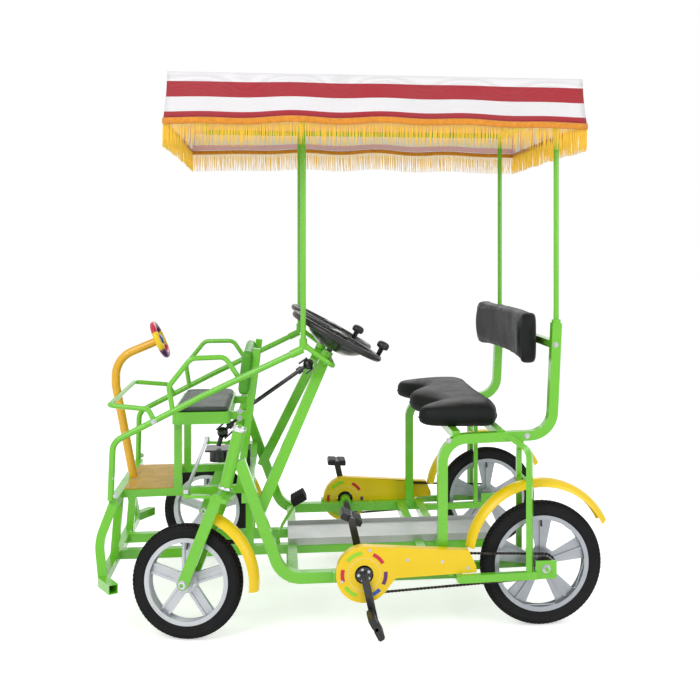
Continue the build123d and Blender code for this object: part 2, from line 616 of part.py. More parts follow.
for side in SIDES.values():
    socket = Pos(at(UPRIGHT_X, POST_REAR_Y, 1068, side)) * Cylinder(16, 12)
    rear_posts.append(round_bar([at(UPRIGHT_X, POST_REAR_Y, 1062, side), at(UPRIGHT_X, POST_REAR_Y, POST_TOP_Z, side)],
                                POST_D) + socket)
rear_posts = [post - nodes["seat_frame"] for post in rear_posts]
guard_cut = []
for guard in rear_guards:
    guard_cut.append(guard - nodes["seat_frame"])
keep("mudguards_rear", *guard_cut)


# Rider's seat: a cushion with three rounded noses, and a bowed backrest
SEAT_OUTLINE = [  # x, y of half the plan, from the middle of the back outwards
    (1125, 0), (1128, 300), (1100, SEAT_Y), (960, SEAT_Y), (830, 400),
    (806, 350), (836, 288), (905, 205), (850, 110), (812, 40), (806, 0),
]


def seat_cushion():
    """The seat cushion, filled up to its rounded edge."""
    half = SEAT_OUTLINE
    points = [(x, y) for x, y in half] + [(x, -y) for x, y in reversed(half[1:-1])]
    face = make_face(FilletPolyline(*[at(x, y, SEAT_Z0 + SEAT_GAP) for x, y in points], radius=26, close=True))
    body = extrude(face, amount=SEAT_T, dir=(0, 0, 1))
    return chamfer(body.faces().sort_by(Axis.Z)[-1].edges(), 14)


keep("seat_cushion", seat_cushion())
BACK_R = 1900.0
back_x = BACK_CROSS_X - BACK_CROSS / 2 - SEAT_GAP
back_outer = Pos(at(back_x - BACK_R, 0, BACK_Z0 + BACK_H / 2)) * Cylinder(BACK_R, BACK_H)
back_inner = Pos(at(back_x - BACK_R, 0, BACK_Z0 + BACK_H / 2)) * Cylinder(BACK_R - BACK_T, BACK_H + 2)
back_window = extrude(Plane(origin=at(1100, 0, BACK_Z0 + BACK_H / 2), x_dir=(0, 1, 0), z_dir=(1, 0, 0))
                      * RectangleRounded(2 * SEAT_Y + 30, BACK_H - 2, 40), amount=300)
keep("backrest", (back_outer - back_inner) & back_window)

# Floor tray and brake pedal
TRAY_X0 = 345.0
TRAY_X1 = 1150.0
TRAY_T = 4.0
tray_low = RAIL_Z + BEAM / 2
tray = block(at(TRAY_X0, -BEAM_Y - 18, tray_low), at(TRAY_X1, BEAM_Y + 18, tray_low + TRAY_T))
for side in SIDES.values():
    tray = tray + block(at(TRAY_X0, side * (BEAM_Y + 17.5), tray_low - 8), at(TRAY_X1, side * (BEAM_Y + 21), tray_low + 18))
keep("floor_tray", tray - nodes["centre_frame"])
brake_arm = square_bar([at(300, -60, RAIL_Z + 10), at(322, -60, 262), at(378, -60, 352)], 14, 10, bend=20)
brake_bracket = block(at(290, -90, BUMPER_Z - 14), at(314, -50, RAIL_Z + 18))
brake_pad = Location(at(384, -60, 366), (0, -28, 0)) * Box(54, 92, 24)
keep("brake_pedal", joined([brake_arm, brake_bracket, brake_pad]) - nodes["centre_frame"] - nodes["floor_tray"])


# Drive: chain guards, chains, cranks, pedals and rear sprockets
def drive_plane(y, side):
    """A sketch plane across the vehicle at the crank, facing outwards."""
    return Plane(origin=at(CRANK_X, y, CRANK_Z, side), x_dir=(1, 0, 0), z_dir=(0, -1, 0))


# Each side's drive is made for the left and mirrored, so both sides match
DRIVE_LEFT = -1


def chain_loop():
    """A chain as one band with side notches, round the ring and the sprocket."""
    sprocket_x = WHEELBASE - CRANK_X
    sprocket_z = AXLE_REAR_Z - CRANK_Z

    def band(extra):
        big = CHAINRING_D / 2 + CHAIN_GAP + extra
        small = SPROCKET_D / 2 + CHAIN_GAP + extra
        first = Circle(big)
        second = Pos(sprocket_x, sprocket_z) * Circle(small)
        tilt = (big - small) / sprocket_x
        web = make_face(Polyline((big * tilt, big), (sprocket_x + small * tilt, sprocket_z + small),
                                 (sprocket_x + small * tilt, sprocket_z - small), (big * tilt, -big), close=True))
        return first + second + web

    face = band(CHAIN_T) - band(0)
    return extrude(drive_plane(CHAIN_Y - CHAIN_W / 2, DRIVE_LEFT) * face, amount=CHAIN_W)


def guard_shell():
    """The left chain guard, hollow behind its face and open at the chain's way out."""
    arm_end = RAIL_END_X + 48 - CRANK_X

    def outline(shrink):
        radius = GUARD_R - shrink
        corners = [(0, radius), (arm_end - 26, 70 - shrink), (arm_end - shrink, 14), (arm_end - shrink, 14 - 20),
                   (110, 14 - 30 + shrink), (60, -radius * 0.78), (0, -radius * 0.5)]
        return Circle(radius) + make_face(Polyline(*corners, close=True))

    depth = GUARD_OUT_Y - GUARD_IN_Y
    outside = extrude(drive_plane(GUARD_IN_Y, DRIVE_LEFT) * outline(0), amount=depth)
    inside = extrude(drive_plane(GUARD_IN_Y - 5, DRIVE_LEFT) * outline(GUARD_T), amount=depth + 5 - GUARD_T)
    hole = rod_y(FRONT_AXLE_X + CRANK_X, CRANK_Z, 64, -GUARD_IN_Y, -GUARD_OUT_Y - 10)
    way_out = block(at(RAIL_END_X + 20, -GUARD_OUT_Y + GUARD_T, CRANK_Z - 120), at(RAIL_END_X + 60, -GUARD_IN_Y + 5, CRANK_Z + 64))
    lower_run = block(at(CRANK_X + 40, -GUARD_OUT_Y + GUARD_T, CRANK_Z - 120), at(RAIL_END_X + 60, -GUARD_IN_Y + 5, CRANK_Z - 2))
    return outside - inside - hole - way_out - lower_run


def crank_set():
    """Axle, chainring and two opposite arms; the outer arm points down and back."""
    centre_x = FRONT_AXLE_X + CRANK_X
    axle = rod_y(centre_x, CRANK_Z, AXLE_D + 6, -ARM_IN_Y + ARM_T / 2, -ARM_OUT_Y - ARM_T / 2)
    ring = extrude(drive_plane(CHAIN_Y - 2, DRIVE_LEFT) * (toothed(CHAINRING_D, CHAINRING_TEETH) - PolarLocations(43, 5) * Circle(12)),
                   amount=4)
    boss = rod_y(centre_x, CRANK_Z, 54, -CHAIN_Y + 4, -GUARD_OUT_Y - 5.5)
    dx = CRANK_L * sin(radians(CRANK_TILT))
    dz = CRANK_L * cos(radians(CRANK_TILT))
    outer = flat_link((centre_x, CRANK_Z), (centre_x + dx, CRANK_Z - dz), ARM_W,
                      -ARM_OUT_Y - ARM_T / 2, -ARM_OUT_Y + ARM_T / 2)
    inner = flat_link((centre_x, CRANK_Z), (centre_x - dx, CRANK_Z + dz), ARM_W,
                      -ARM_IN_Y - ARM_T / 2, -ARM_IN_Y + ARM_T / 2)
    return joined([axle, ring, boss, outer, inner])


def pedal(x, z, y_near, outwards, tilt):
    """A block pedal on its spindle, on the left side."""
    y_face = y_near + outwards * (ARM_T / 2)
    body = Location(Vector(x, y_face + outwards * (6 + PEDAL_W / 2), z), (0, tilt, 0)) * Box(PEDAL_L, PEDAL_W, PEDAL_T)
    spindle = rod_y(x, z, 12, y_face, y_face + outwards * 20)
    return body + spindle


def pedals_left():
    """Both pedals of the left crank set."""
    centre_x = FRONT_AXLE_X + CRANK_X
    dx = CRANK_L * sin(radians(CRANK_TILT))
    dz = CRANK_L * cos(radians(CRANK_TILT))
    low = pedal(centre_x + dx, CRANK_Z - dz, -ARM_OUT_Y, -1, 62)
    high = pedal(centre_x - dx, CRANK_Z + dz, -ARM_IN_Y, 1, 12)
    return [low, high]


def rear_sprocket():
    """The left rear sprocket on the wheel's hub."""
    body = extrude(Plane(origin=at(WHEELBASE, CHAIN_Y - 2, AXLE_REAR_Z, DRIVE_LEFT), x_dir=(1, 0, 0), z_dir=(0, -1, 0))
                   * toothed(SPROCKET_D, SPROCKET_TEETH), amount=4)
    carrier = rod_y(FRONT_AXLE_X + WHEELBASE, AXLE_REAR_Z, 46, -WHEEL_Y - HUB_W / 2, -CHAIN_Y + 2)
    bore = rod_y(FRONT_AXLE_X + WHEELBASE, AXLE_REAR_Z, AXLE_D + 2 * FIT, -WHEEL_Y, -CHAIN_Y - 10)
    return body + carrier - bore


left_guard = guard_shell()
left_chain = chain_loop()
left_crank = crank_set()
left_sprocket = rear_sprocket()
# The right crank stands half a turn from the left one
crank_axis = Axis(at(CRANK_X, 0, CRANK_Z), (0, 1, 0))
right_crank = mirrored(left_crank).rotate(crank_axis, 180)
keep("chain_guards", left_guard, mirrored(left_guard))
keep("chains", left_chain, mirrored(left_chain))
keep("crank_left", left_crank)
keep("crank_right", right_crank)
keep("pedals_left", *pedals_left())
keep("pedals_right", *[mirrored(piece).rotate(crank_axis, 180) for piece in pedals_left()])
keep("sprocket_left", left_sprocket)
keep("sprocket_right", mirrored(left_sprocket))

# Canopy: tube frame on the posts, a crowned cloth box and its fringe
canopy_x = (CANOPY_X0 + CANOPY_X1) / 2
canopy_l = CANOPY_X1 - CANOPY_X0
frame_x0 = CANOPY_X0 + 60
frame_x1 = CANOPY_X1 - 60
side_low = CANOPY_Z - 50
tube_z = CANOPY_Z + CANOPY_TUBE
frame_pieces = []
for y in (-POST_REAR_Y, POST_REAR_Y):
    frame_pieces.append(round_bar([at(frame_x0, y, tube_z), at(frame_x1, y, tube_z)], CANOPY_TUBE))
for x in (frame_x0, POST_FRONT_X, UPRIGHT_X, frame_x1):
    frame_pieces.append(round_bar([at(x, -POST_REAR_Y - 6, tube_z), at(x, POST_REAR_Y + 6, tube_z)], CANOPY_TUBE - 3))
# The upper ring carries the cloth's edge, on four short struts
TOP_RISE = 1.8
top_z = side_low + CANOPY_SIDE_H - CANOPY_T - CANOPY_TOP_TUBE / 2 - SEAT_GAP + TOP_RISE
ring_y = CANOPY_W / 2 - CANOPY_INSET - 2 * CANOPY_TOP_TUBE
ring_x = canopy_l / 2 - CANOPY_INSET - 2 * CANOPY_TOP_TUBE
for y in (-ring_y, ring_y):
    frame_pieces.append(square_bar([at(canopy_x - ring_x, y, top_z), at(canopy_x + ring_x, y, top_z)], CANOPY_TOP_TUBE))
for x in (canopy_x - ring_x, canopy_x + ring_x):
    frame_pieces.append(square_bar([at(x, -ring_y - 5, top_z), at(x, ring_y + 5, top_z)], CANOPY_TOP_TUBE,
                                   across=(1, 0, 0)))
for x, top_x in ((frame_x0, canopy_x - ring_x), (frame_x1, canopy_x + ring_x)):
    for side in SIDES.values():
        frame_pieces.append(square_bar([at(x, POST_REAR_Y - 3, tube_z - 2, side), at(top_x, ring_y, top_z + 1, side)], 12))
canopy_frame = joined(frame_pieces)
keep("canopy_frame", canopy_frame)
keep("front_posts", hoop - nodes["handrails"] - canopy_frame)
keep("rear_posts", *[post - canopy_frame for post in rear_posts])


def canopy_box(offset):
    """The closed tent shape: sloping sides under a shallow crowned top."""
    high = side_low + CANOPY_SIDE_H
    base = Plane(origin=at(canopy_x, 0, side_low)) * Rectangle(canopy_l - 2 * offset, CANOPY_W - 2 * offset)
    top = Plane(origin=at(canopy_x, 0, high - offset)) * Rectangle(canopy_l - 2 * CANOPY_INSET - 2 * offset,
                                                                   CANOPY_W - 2 * CANOPY_INSET - 2 * offset)
    ridge = Plane(origin=at(canopy_x, 0, high + CANOPY_CROWN - offset)) * Rectangle(canopy_l * 0.55, CANOPY_W * 0.4)
    return loft([base, top], ruled=True) + loft([top, ridge], ruled=True)


cloth = canopy_box(0) - canopy_box(CANOPY_T)
keep("canopy_cloth", cloth)
fringe_low = side_low - FRINGE_H
fringe_box = block(at(CANOPY_X0, -CANOPY_W / 2, fringe_low), at(CANOPY_X1, CANOPY_W / 2, side_low))
fringe_hole = block(at(CANOPY_X0 + FRINGE_T, -CANOPY_W / 2 + FRINGE_T, fringe_low - 1),
                    at(CANOPY_X1 - FRINGE_T, CANOPY_W / 2 - FRINGE_T, CANOPY_Z))
keep("canopy_fringe", fringe_box - fringe_hole)

for name, shape in nodes.items():
    export_step(shape, f"parts/{name}.step")
box = Compound(children=[solid for shape in nodes.values() for solid in shape.solids()]).bounding_box()
print(len(nodes), "nodes; low", box.min, "high", box.max)
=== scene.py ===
"""Looks of the pedal quadricycle: paint, castings, tread, chains, cushions, canopy and fringe."""
import json
import logging
import math
import random
from collections.abc import Iterator
from contextlib import contextmanager
from dataclasses import dataclass
from enum import Enum

import bmesh
import bpy
from mathutils import Euler, Matrix, Vector
from mathutils.bvhtree import BVHTree

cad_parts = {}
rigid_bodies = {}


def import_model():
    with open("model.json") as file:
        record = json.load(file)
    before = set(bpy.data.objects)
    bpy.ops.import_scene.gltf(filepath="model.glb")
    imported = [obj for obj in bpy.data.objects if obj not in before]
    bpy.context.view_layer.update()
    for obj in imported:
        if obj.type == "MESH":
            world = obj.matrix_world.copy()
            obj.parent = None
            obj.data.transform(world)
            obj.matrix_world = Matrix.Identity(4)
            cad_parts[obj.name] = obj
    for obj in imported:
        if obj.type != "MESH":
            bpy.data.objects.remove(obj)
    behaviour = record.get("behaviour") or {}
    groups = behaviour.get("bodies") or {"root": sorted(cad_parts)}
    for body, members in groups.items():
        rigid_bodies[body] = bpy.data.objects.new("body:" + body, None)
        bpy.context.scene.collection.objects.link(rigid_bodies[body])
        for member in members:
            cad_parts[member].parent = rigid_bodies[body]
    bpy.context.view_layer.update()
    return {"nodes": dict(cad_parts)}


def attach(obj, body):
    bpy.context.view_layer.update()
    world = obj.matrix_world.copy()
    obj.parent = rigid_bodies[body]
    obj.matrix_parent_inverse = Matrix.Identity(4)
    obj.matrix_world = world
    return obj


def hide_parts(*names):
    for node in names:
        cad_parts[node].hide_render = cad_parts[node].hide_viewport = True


for leftover in list(bpy.data.objects):
    bpy.data.objects.remove(leftover)
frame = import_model()
LOG = logging.getLogger("quadricycle")
Point = tuple[float, float, float]

FRONT_AXLE_X = -0.5694
REAR_AXLE_X = FRONT_AXLE_X + 1.230
WHEEL_Y = 0.475
FRONT_AXLE_Z = 0.1931
REAR_AXLE_Z = 0.2175
CRANK_X = FRONT_AXLE_X + 0.599
CRANK_Z = 0.214
SIDES = {"left": -1, "right": 1}
KINGPIN = (FRONT_AXLE_X + 0.127, 0.475, 0.503)
KINGPIN_LEAN = math.radians(13.4)
PARKED_TURN = math.radians(-14.0)
CRANK = (CRANK_X, 0.0, CRANK_Z)
ORIGIN = (0.0, 0.0, 0.0)
FULL_TURN = 2 * math.pi
# Stands a part up along Z that was turned about Y.
TIP_UP = Matrix.Rotation(math.pi / 2, 4, "X")


def steer_matrix(side: int) -> Matrix:
    """The turn of one front fork from straight ahead to where it is parked.

    Args:
        side: -1 for the left fork, 1 for the right one.

    Returns:
        The turn about the kingpin, as a 4 by 4 matrix.
    """
    pivot = Vector((KINGPIN[0], KINGPIN[1] * side, KINGPIN[2]))
    lean = Vector((math.sin(KINGPIN_LEAN), 0.0, math.cos(KINGPIN_LEAN)))
    turn = Matrix.Rotation(PARKED_TURN, 4, lean)
    return Matrix.Translation(pivot) @ turn @ Matrix.Translation(-pivot)


def colour_of(code: str) -> Point:
    """Turns a written screen colour such as "77d026" into linear light.

    Args:
        code: Six hexadecimal digits.

    Returns:
        Red, green and blue in linear light.
    """
    parts = [int(code[i:i + 2], 16) / 255.0 for i in (0, 2, 4)]
    return tuple(p / 12.92 if p <= 0.04045 else ((p + 0.055) / 1.055) ** 2.4 for p in parts)


class Graph:
    """Adds nodes to one tree, with their values and links given by input."""

    def __init__(self, tree: bpy.types.NodeTree) -> None:
        """Keeps the tree."""
        self.tree = tree

    def add(self, kind: str, inputs: dict | None = None, **settings: object) -> bpy.types.Node:
        """Adds a node.

        Args:
            kind: The node's type name.
            inputs: Values or sockets, by the input's name or index.
            settings: Attributes of the node, set before its inputs.

        Returns:
            The new node.
        """
        node = self.tree.nodes.new(kind)
        for name, value in settings.items():
            setattr(node, name, value)
        for key, value in (inputs or {}).items():
            if isinstance(value, bpy.types.NodeSocket):
                self.tree.links.new(value, node.inputs[key])
            else:
                node.inputs[key].default_value = value
        return node


def new_group(name: str, kind: str, inputs: dict, outputs: dict) -> tuple:
    """Starts a node group with named sockets.

    Args:
        name: The group's name.
        kind: ShaderNodeTree or GeometryNodeTree.
        inputs: Socket type and default by name.
        outputs: Socket type by name.

    Returns:
        The graph, its input node and its output node.
    """
    tree = bpy.data.node_groups.new(name, kind)
    for socket_name, (socket_type, default) in inputs.items():
        socket = tree.interface.new_socket(socket_name, in_out="INPUT", socket_type=socket_type)
        if default is not None:
            socket.default_value = default
    for socket_name, socket_type in outputs.items():
        tree.interface.new_socket(socket_name, in_out="OUTPUT", socket_type=socket_type)
    graph = Graph(tree)
    return graph, graph.add("NodeGroupInput"), graph.add("NodeGroupOutput")


def blank_graph(owner: bpy.types.ID) -> Graph:
    """Empties the node tree of a material or a world, to be filled anew."""
    owner.use_nodes = True
    owner.node_tree.nodes.clear()
    return Graph(owner.node_tree)


class Grain(Enum):
    """What the fine surface of a finish is like."""

    ORANGE_PEEL = "orange peel"
    PEBBLE = "pebble"
    BRUSHED = "brushed"
    WEAVE = "weave"


NUMBER = "NodeSocketFloat"
SHADER_TREE = "ShaderNodeTree"


class Effects:
    """Shader groups that the finishes share, each built once."""

    built: dict = {}

    @classmethod
    def blotches(cls) -> bpy.types.NodeTree:
        """Soft large and small marks, as a mask from 0 to 1."""
        if "blotches" not in cls.built:
            graph, start, end = new_group("blotches", SHADER_TREE, {"Scale": (NUMBER, 8.0)}, {"Mask": NUMBER})
            place = graph.add("ShaderNodeTexCoord").outputs["Object"]
            noise = graph.add("ShaderNodeTexNoise", {
                "Vector": place, "Scale": start.outputs["Scale"], "Detail": 6.0, "Roughness": 0.62})
            mask = graph.add("ShaderNodeMapRange", {
                "Value": noise.outputs[0], "From Min": 0.38, "From Max": 0.66})
            graph.tree.links.new(mask.outputs[0], end.inputs["Mask"])
            cls.built["blotches"] = graph.tree
        return cls.built["blotches"]

    @classmethod
    def grain(cls, grain: Grain) -> bpy.types.NodeTree:
        """The fine relief of one kind of surface, as a normal.

        Args:
            grain: The kind of surface.

        Returns:
            The node group.
        """
        if grain in cls.built:
            return cls.built[grain]
        graph, start, end = new_group(grain.value, SHADER_TREE, {
            "Scale": (NUMBER, 200.0), "Depth": (NUMBER, 0.0002)}, {"Normal": "NodeSocketVector"})
        place = graph.add("ShaderNodeTexCoord").outputs["Object"]
        laid = {"Vector": place, "Scale": start.outputs["Scale"]}
        if grain is Grain.PEBBLE:
            height = graph.add("ShaderNodeTexVoronoi", laid, feature="SMOOTH_F1").outputs["Distance"]
        elif grain is Grain.BRUSHED:
            drawn = graph.add("ShaderNodeMapping", {"Vector": place, "Scale": (0.04, 1.0, 1.0)})
            height = graph.add("ShaderNodeTexNoise", {**laid, "Vector": drawn.outputs[0]}).outputs[0]
        elif grain is Grain.WEAVE:
            waves = [graph.add("ShaderNodeTexWave", laid, bands_direction=axis).outputs[1] for axis in "XYZ"]
            height = waves[0]
            for wave in waves[1:]:
                height = graph.add("ShaderNodeMath", {0: height, 1: wave}, operation="MAXIMUM").outputs[0]
        else:
            height = graph.add("ShaderNodeTexNoise", {**laid, "Detail": 2.0}).outputs[0]
        bump = graph.add("ShaderNodeBump", {
            "Height": height, "Distance": start.outputs["Depth"], "Strength": 1.0})
        graph.tree.links.new(bump.outputs[0], end.inputs["Normal"])
        cls.built[grain] = graph.tree
        return graph.tree


@dataclass(frozen=True)
class Finish:
    """One finish: its colour, gloss, fine surface and any painted glow."""

    name: str
    code: str
    grain: Grain = Grain.ORANGE_PEEL
    scale: float = 220.0
    depth: float = 0.0001
    roughness: float = 0.4
    metallic: float = 0.0
    coat: float = 0.0
    shade: float = 0.12
    patch: float = 9.0
    sheen: float = 0.0
    specular: float = 0.5
    # Emission in the finish's own colour: painted glow, since no part is a lamp.
    glow: float = 0.0

    @property
    def colour(self) -> Point:
        """The colour in linear light."""
        return colour_of(self.code)

    def shader(self, graph: Graph, pattern: bpy.types.NodeSocket | None = None) -> bpy.types.Node:
        """Adds the finish's shader to a material's tree.

        Args:
            graph: The material's graph.
            pattern: A patterned colour in place of the plain one.

        Returns:
            The shader node.
        """
        plain = (*self.colour, 1.0)
        dark = (*(part * 0.45 for part in self.colour), 1.0)
        marks = graph.add("ShaderNodeGroup", {"Scale": self.patch}, node_tree=Effects.blotches())
        relief = graph.add("ShaderNodeGroup", {"Scale": self.scale, "Depth": self.depth},
                           node_tree=Effects.grain(self.grain))
        share = graph.add("ShaderNodeMath", {0: marks.outputs[0], 1: self.shade}, operation="MULTIPLY")
        clean = plain if pattern is None else pattern
        mix = graph.add("ShaderNodeMix", {0: share.outputs[0], 6: clean, 7: dark}, data_type="RGBA")
        rough = graph.add("ShaderNodeMapRange", {
            "Value": marks.outputs[0], "To Min": max(self.roughness - 0.05, 0.02),
            "To Max": self.roughness + 0.07})
        # The emission at the glow strength is painted light in the plain colour.
        return graph.add("ShaderNodeBsdfPrincipled", {
            "Base Color": mix.outputs[2], "Roughness": rough.outputs[0], "Normal": relief.outputs[0],
            "Metallic": self.metallic, "Coat Weight": self.coat, "Coat Roughness": 0.08,
            "Sheen Weight": self.sheen, "Specular IOR Level": self.specular,
            "Emission Color": plain, "Emission Strength": self.glow})

    def material(self) -> bpy.types.Material:
        """The finish's material, made at its first use."""
        made = bpy.data.materials.get(self.name)
        if made is None:
            made = bpy.data.materials.new(self.name)
            graph = blank_graph(made)
            graph.add("ShaderNodeOutputMaterial", {"Surface": self.shader(graph).outputs[0]})
        return made


GREEN = Finish("green paint", "72cc27", roughness=0.3, coat=0.45, shade=0.10, scale=160.0, depth=0.00012)
YELLOW = Finish("yellow plastic", "fcd500", roughness=0.34, coat=0.12, shade=0.08, scale=260.0)
POST_YELLOW = Finish("orange-yellow paint", "f2b513", roughness=0.3, coat=0.4, shade=0.10)
BOARD = Finish("ochre paint", "cfa12e", roughness=0.5, shade=0.30, patch=22.0, scale=380.0, depth=0.0002)
RUBBER = Finish("tyre rubber", "18181a", roughness=0.78, shade=0.25, scale=420.0, depth=0.0002,
                specular=0.25)
SILVER = Finish("silver wheel paint", "c6c9ce", roughness=0.34, metallic=0.55, coat=0.3, shade=0.16)
SILVER_DARK = Finish("silver-grey wheel paint", "a9adb4", roughness=0.36, metallic=0.6, coat=0.3, shade=0.2)
BLACK_HIDE = Finish("black seat covering", "131516", Grain.PEBBLE, 520.0, 0.00018, 0.56, shade=0.3,
                    specular=0.22)
GREY_HIDE = Finish("dark grey seat covering", "33403c", Grain.PEBBLE, 520.0, 0.0002, 0.48, shade=0.3)
GREEN_HIDE = Finish("green seat covering", "4fa51f", Grain.PEBBLE, 520.0, 0.0002, 0.46, shade=0.25)
BLACK_PLASTIC = Finish("black plastic", "1b1b1d", roughness=0.38, shade=0.2, scale=400.0, depth=0.00012)
BLACK_PAINT = Finish("black paint", "1d1d20", roughness=0.3, coat=0.3, shade=0.25, scale=180.0)
CHAIN_STEEL = Finish("oiled chain steel", "4b4642", Grain.BRUSHED, 900.0, 0.0001, 0.4, 0.85, shade=0.5)
ZINC = Finish("zinc-plated steel", "c9cbcf", Grain.BRUSHED, 700.0, 0.00005, 0.3, 0.9, shade=0.2, patch=40.0)
TRAY_METAL = Finish("tray metal", "b9bcbb", Grain.BRUSHED, 300.0, 0.00008, 0.42, 0.45, shade=0.25, patch=5.0)
GOLD = Finish("gold braid", "f2991c", Grain.WEAVE, 700.0, 0.0003, 0.62, shade=0.35, patch=60.0, sheen=0.3)
# The fringe's glow is painted light that brightens strands shaded under the canopy.
FRINGE = Finish("gold fringe", "ffd147", Grain.WEAVE, 700.0, 0.0001, 0.7, shade=0.15, patch=30.0, glow=0.22)
CHROME = Finish("chromed steel", "dcdee2", roughness=0.16, metallic=0.9, shade=0.1)
RED = Finish("red plastic", "d0123c", roughness=0.35, coat=0.2)
PURPLE = Finish("purple plastic", "5f1f6c", roughness=0.35, coat=0.2)
BLUE = Finish("blue plastic", "2354b8", roughness=0.35, coat=0.2)
LIME = Finish("light green plastic", "9be021", roughness=0.35, coat=0.2)
CREAM = Finish("pale line", "f7f2d8", roughness=0.4)
CLOTH = Finish("canopy cloth", "f2f0f2", Grain.WEAVE, 420.0, 0.0003, 0.72, shade=0.07, patch=3.0, sheen=0.2)
# The inside's glow is painted light on the shaded underside of the cloth.
CLOTH_INSIDE = Finish("canopy cloth inside", "f6f2ee", Grain.WEAVE, 420.0, 0.0003, 0.8, shade=0.1, patch=3.0,
                      glow=0.12)

SIDED_FINISH = {"rim_front_": SILVER, "rim_rear_": SILVER_DARK, "mudguard_front_": YELLOW,
                "steering_wheel_": BLACK_PLASTIC, "crank_": BLACK_PAINT, "sprocket_": CHAIN_STEEL}
NODE_FINISH = {
    "mudguards_rear": YELLOW, "chain_guards": YELLOW, "toy_post": POST_YELLOW, "foot_board": BOARD,
    "floor_tray": TRAY_METAL, "tie_rod": ZINC, "steering_gear": BLACK_PAINT,
    **{stem + side: finish for stem, finish in SIDED_FINISH.items() for side in SIDES},
}


def in_scene(name: str, data: bpy.types.ID) -> bpy.types.Object:
    """Puts a new object with this data into the scene."""
    thing = bpy.data.objects.new(name, data)
    bpy.context.scene.collection.objects.link(thing)
    return thing


def baked(holder: bpy.types.Object) -> bpy.types.Mesh:
    """Takes an object's mesh as its modifiers leave it, and removes the object."""
    graph = bpy.context.evaluated_depsgraph_get()
    mesh = bpy.data.meshes.new_from_object(holder.evaluated_get(graph))
    bpy.data.objects.remove(holder)
    return mesh


def add_piece(name: str, mesh: bpy.types.Mesh, body: str, finish: Finish | None = None,
              stands_for: tuple = ()) -> bpy.types.Object:
    """Puts a finished mesh into the scene as a piece of the object.

    Args:
        name: The piece's name.
        mesh: Its mesh, in the shared frame.
        body: The body that it rides on.
        finish: Its finish, or None if the mesh has its materials already.
        stands_for: The solids that it replaces.

    Returns:
        The piece's object.
    """
    piece = in_scene(name, mesh)
    if finish is not None:
        mesh.materials.clear()
        mesh.materials.append(finish.material())
    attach(piece, body)
    if stands_for:
        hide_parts(*stands_for)
    LOG.info("%s: %d faces", name, len(mesh.polygons))
    return piece


@contextmanager
def editing(mesh: bpy.types.Mesh) -> Iterator[bmesh.types.BMesh]:
    """Opens a mesh for changes and writes them back."""
    opened = bmesh.new()
    opened.from_mesh(mesh)
    yield opened
    opened.to_mesh(mesh)
    opened.free()


def plain_mesh(name: str, points: list, faces: list, edges: tuple = ()) -> bpy.types.Mesh:
    """Makes a mesh of these points, faces and edges as they are."""
    mesh = bpy.data.meshes.new(name)
    mesh.from_pydata([tuple(p) for p in points], edges, faces)
    return mesh


def loop_mesh(name: str, line: list) -> bpy.types.Mesh:
    """Makes a closed line of edges through these points."""
    return plain_mesh(name, line, [], tuple((i, (i + 1) % len(line)) for i in range(len(line))))


def mesh_of(name: str, points: list, faces: list, smooth: bool = True,
            turn: Matrix | None = None) -> bpy.types.Mesh:
    """Makes a mesh with its normals outwards.

    Args:
        name: The mesh's name.
        points: Its vertices.
        faces: Lists of vertex numbers.
        smooth: Whether it is shaded smooth.
        turn: A matrix for the whole mesh.

    Returns:
        The mesh.
    """
    mesh = plain_mesh(name, points, faces)
    with editing(mesh) as opened:
        bmesh.ops.remove_doubles(opened, verts=opened.verts, dist=1e-6)
        bmesh.ops.recalc_face_normals(opened, faces=opened.faces)
    if turn is not None:
        mesh.transform(turn)
    if smooth:
        mesh.shade_smooth()
    else:
        mesh.shade_flat()
    return mesh


def about(centre: Point, radius: float, angle: float, y: float = 0.0) -> Point:
    """The point at a radius and an angle round a line across the vehicle, and at y along it."""
    return centre[0] + radius * math.cos(angle), centre[1] + y, centre[2] + radius * math.sin(angle)


def rectangle(left: float, right: float, low: float, high: float) -> list:
    """The corners of a rectangle."""
    return [(left, low), (right, low), (right, high), (left, high)]


def ring_outline(radius: float, corners: int) -> list:
    """The corners of a regular outline."""
    angles = [FULL_TURN * k / corners for k in range(corners)]
    return [(radius * math.cos(angle), radius * math.sin(angle)) for angle in angles]


def ring_faces(rings: int, count: int, wrap: bool = False, closed: bool = True) -> list:
    """The faces between rings of points that follow one another.

    Args:
        rings: How many rings there are.
        count: How many points each ring has.
        wrap: Whether the last ring joins the first.
        closed: Whether each ring's last point joins its first.

    Returns:
        The faces.
    """
    faces = []
    for i in range(rings if wrap else rings - 1):
        here, there = i * count, (i + 1) % rings * count
        for k in range(count if closed else count - 1):
            after = (k + 1) % count
            faces.append((here + k, here + after, there + after, there + k))
    return faces


def end_caps(rings: int, count: int) -> list:
    """The faces that close the first ring and the last."""
    return [tuple(range(count)), tuple((rings - 1) * count + k for k in range(count))]


def lathe(profile: list, centre: Point, segments: int, closed: bool = True, start: float = 0.0,
          sweep: float = FULL_TURN) -> tuple[list, list]:
    """Turns a profile about a line across the vehicle.

    Args:
        profile: Points (radius, y offset).
        centre: A point on the line.
        segments: How many steps go round.
        closed: Whether the profile's last point joins its first.
        start: The first angle.
        sweep: How far it turns.

    Returns:
        The points and the faces.
    """
    whole = sweep >= FULL_TURN
    rings = segments if whole else segments + 1
    points = [about(centre, radius, start + sweep * i / segments, y)
              for i in range(rings) for radius, y in profile]
    faces = ring_faces(rings, len(profile), whole, closed)
    if not whole and closed:
        faces += end_caps(rings, len(profile))
    return points, faces


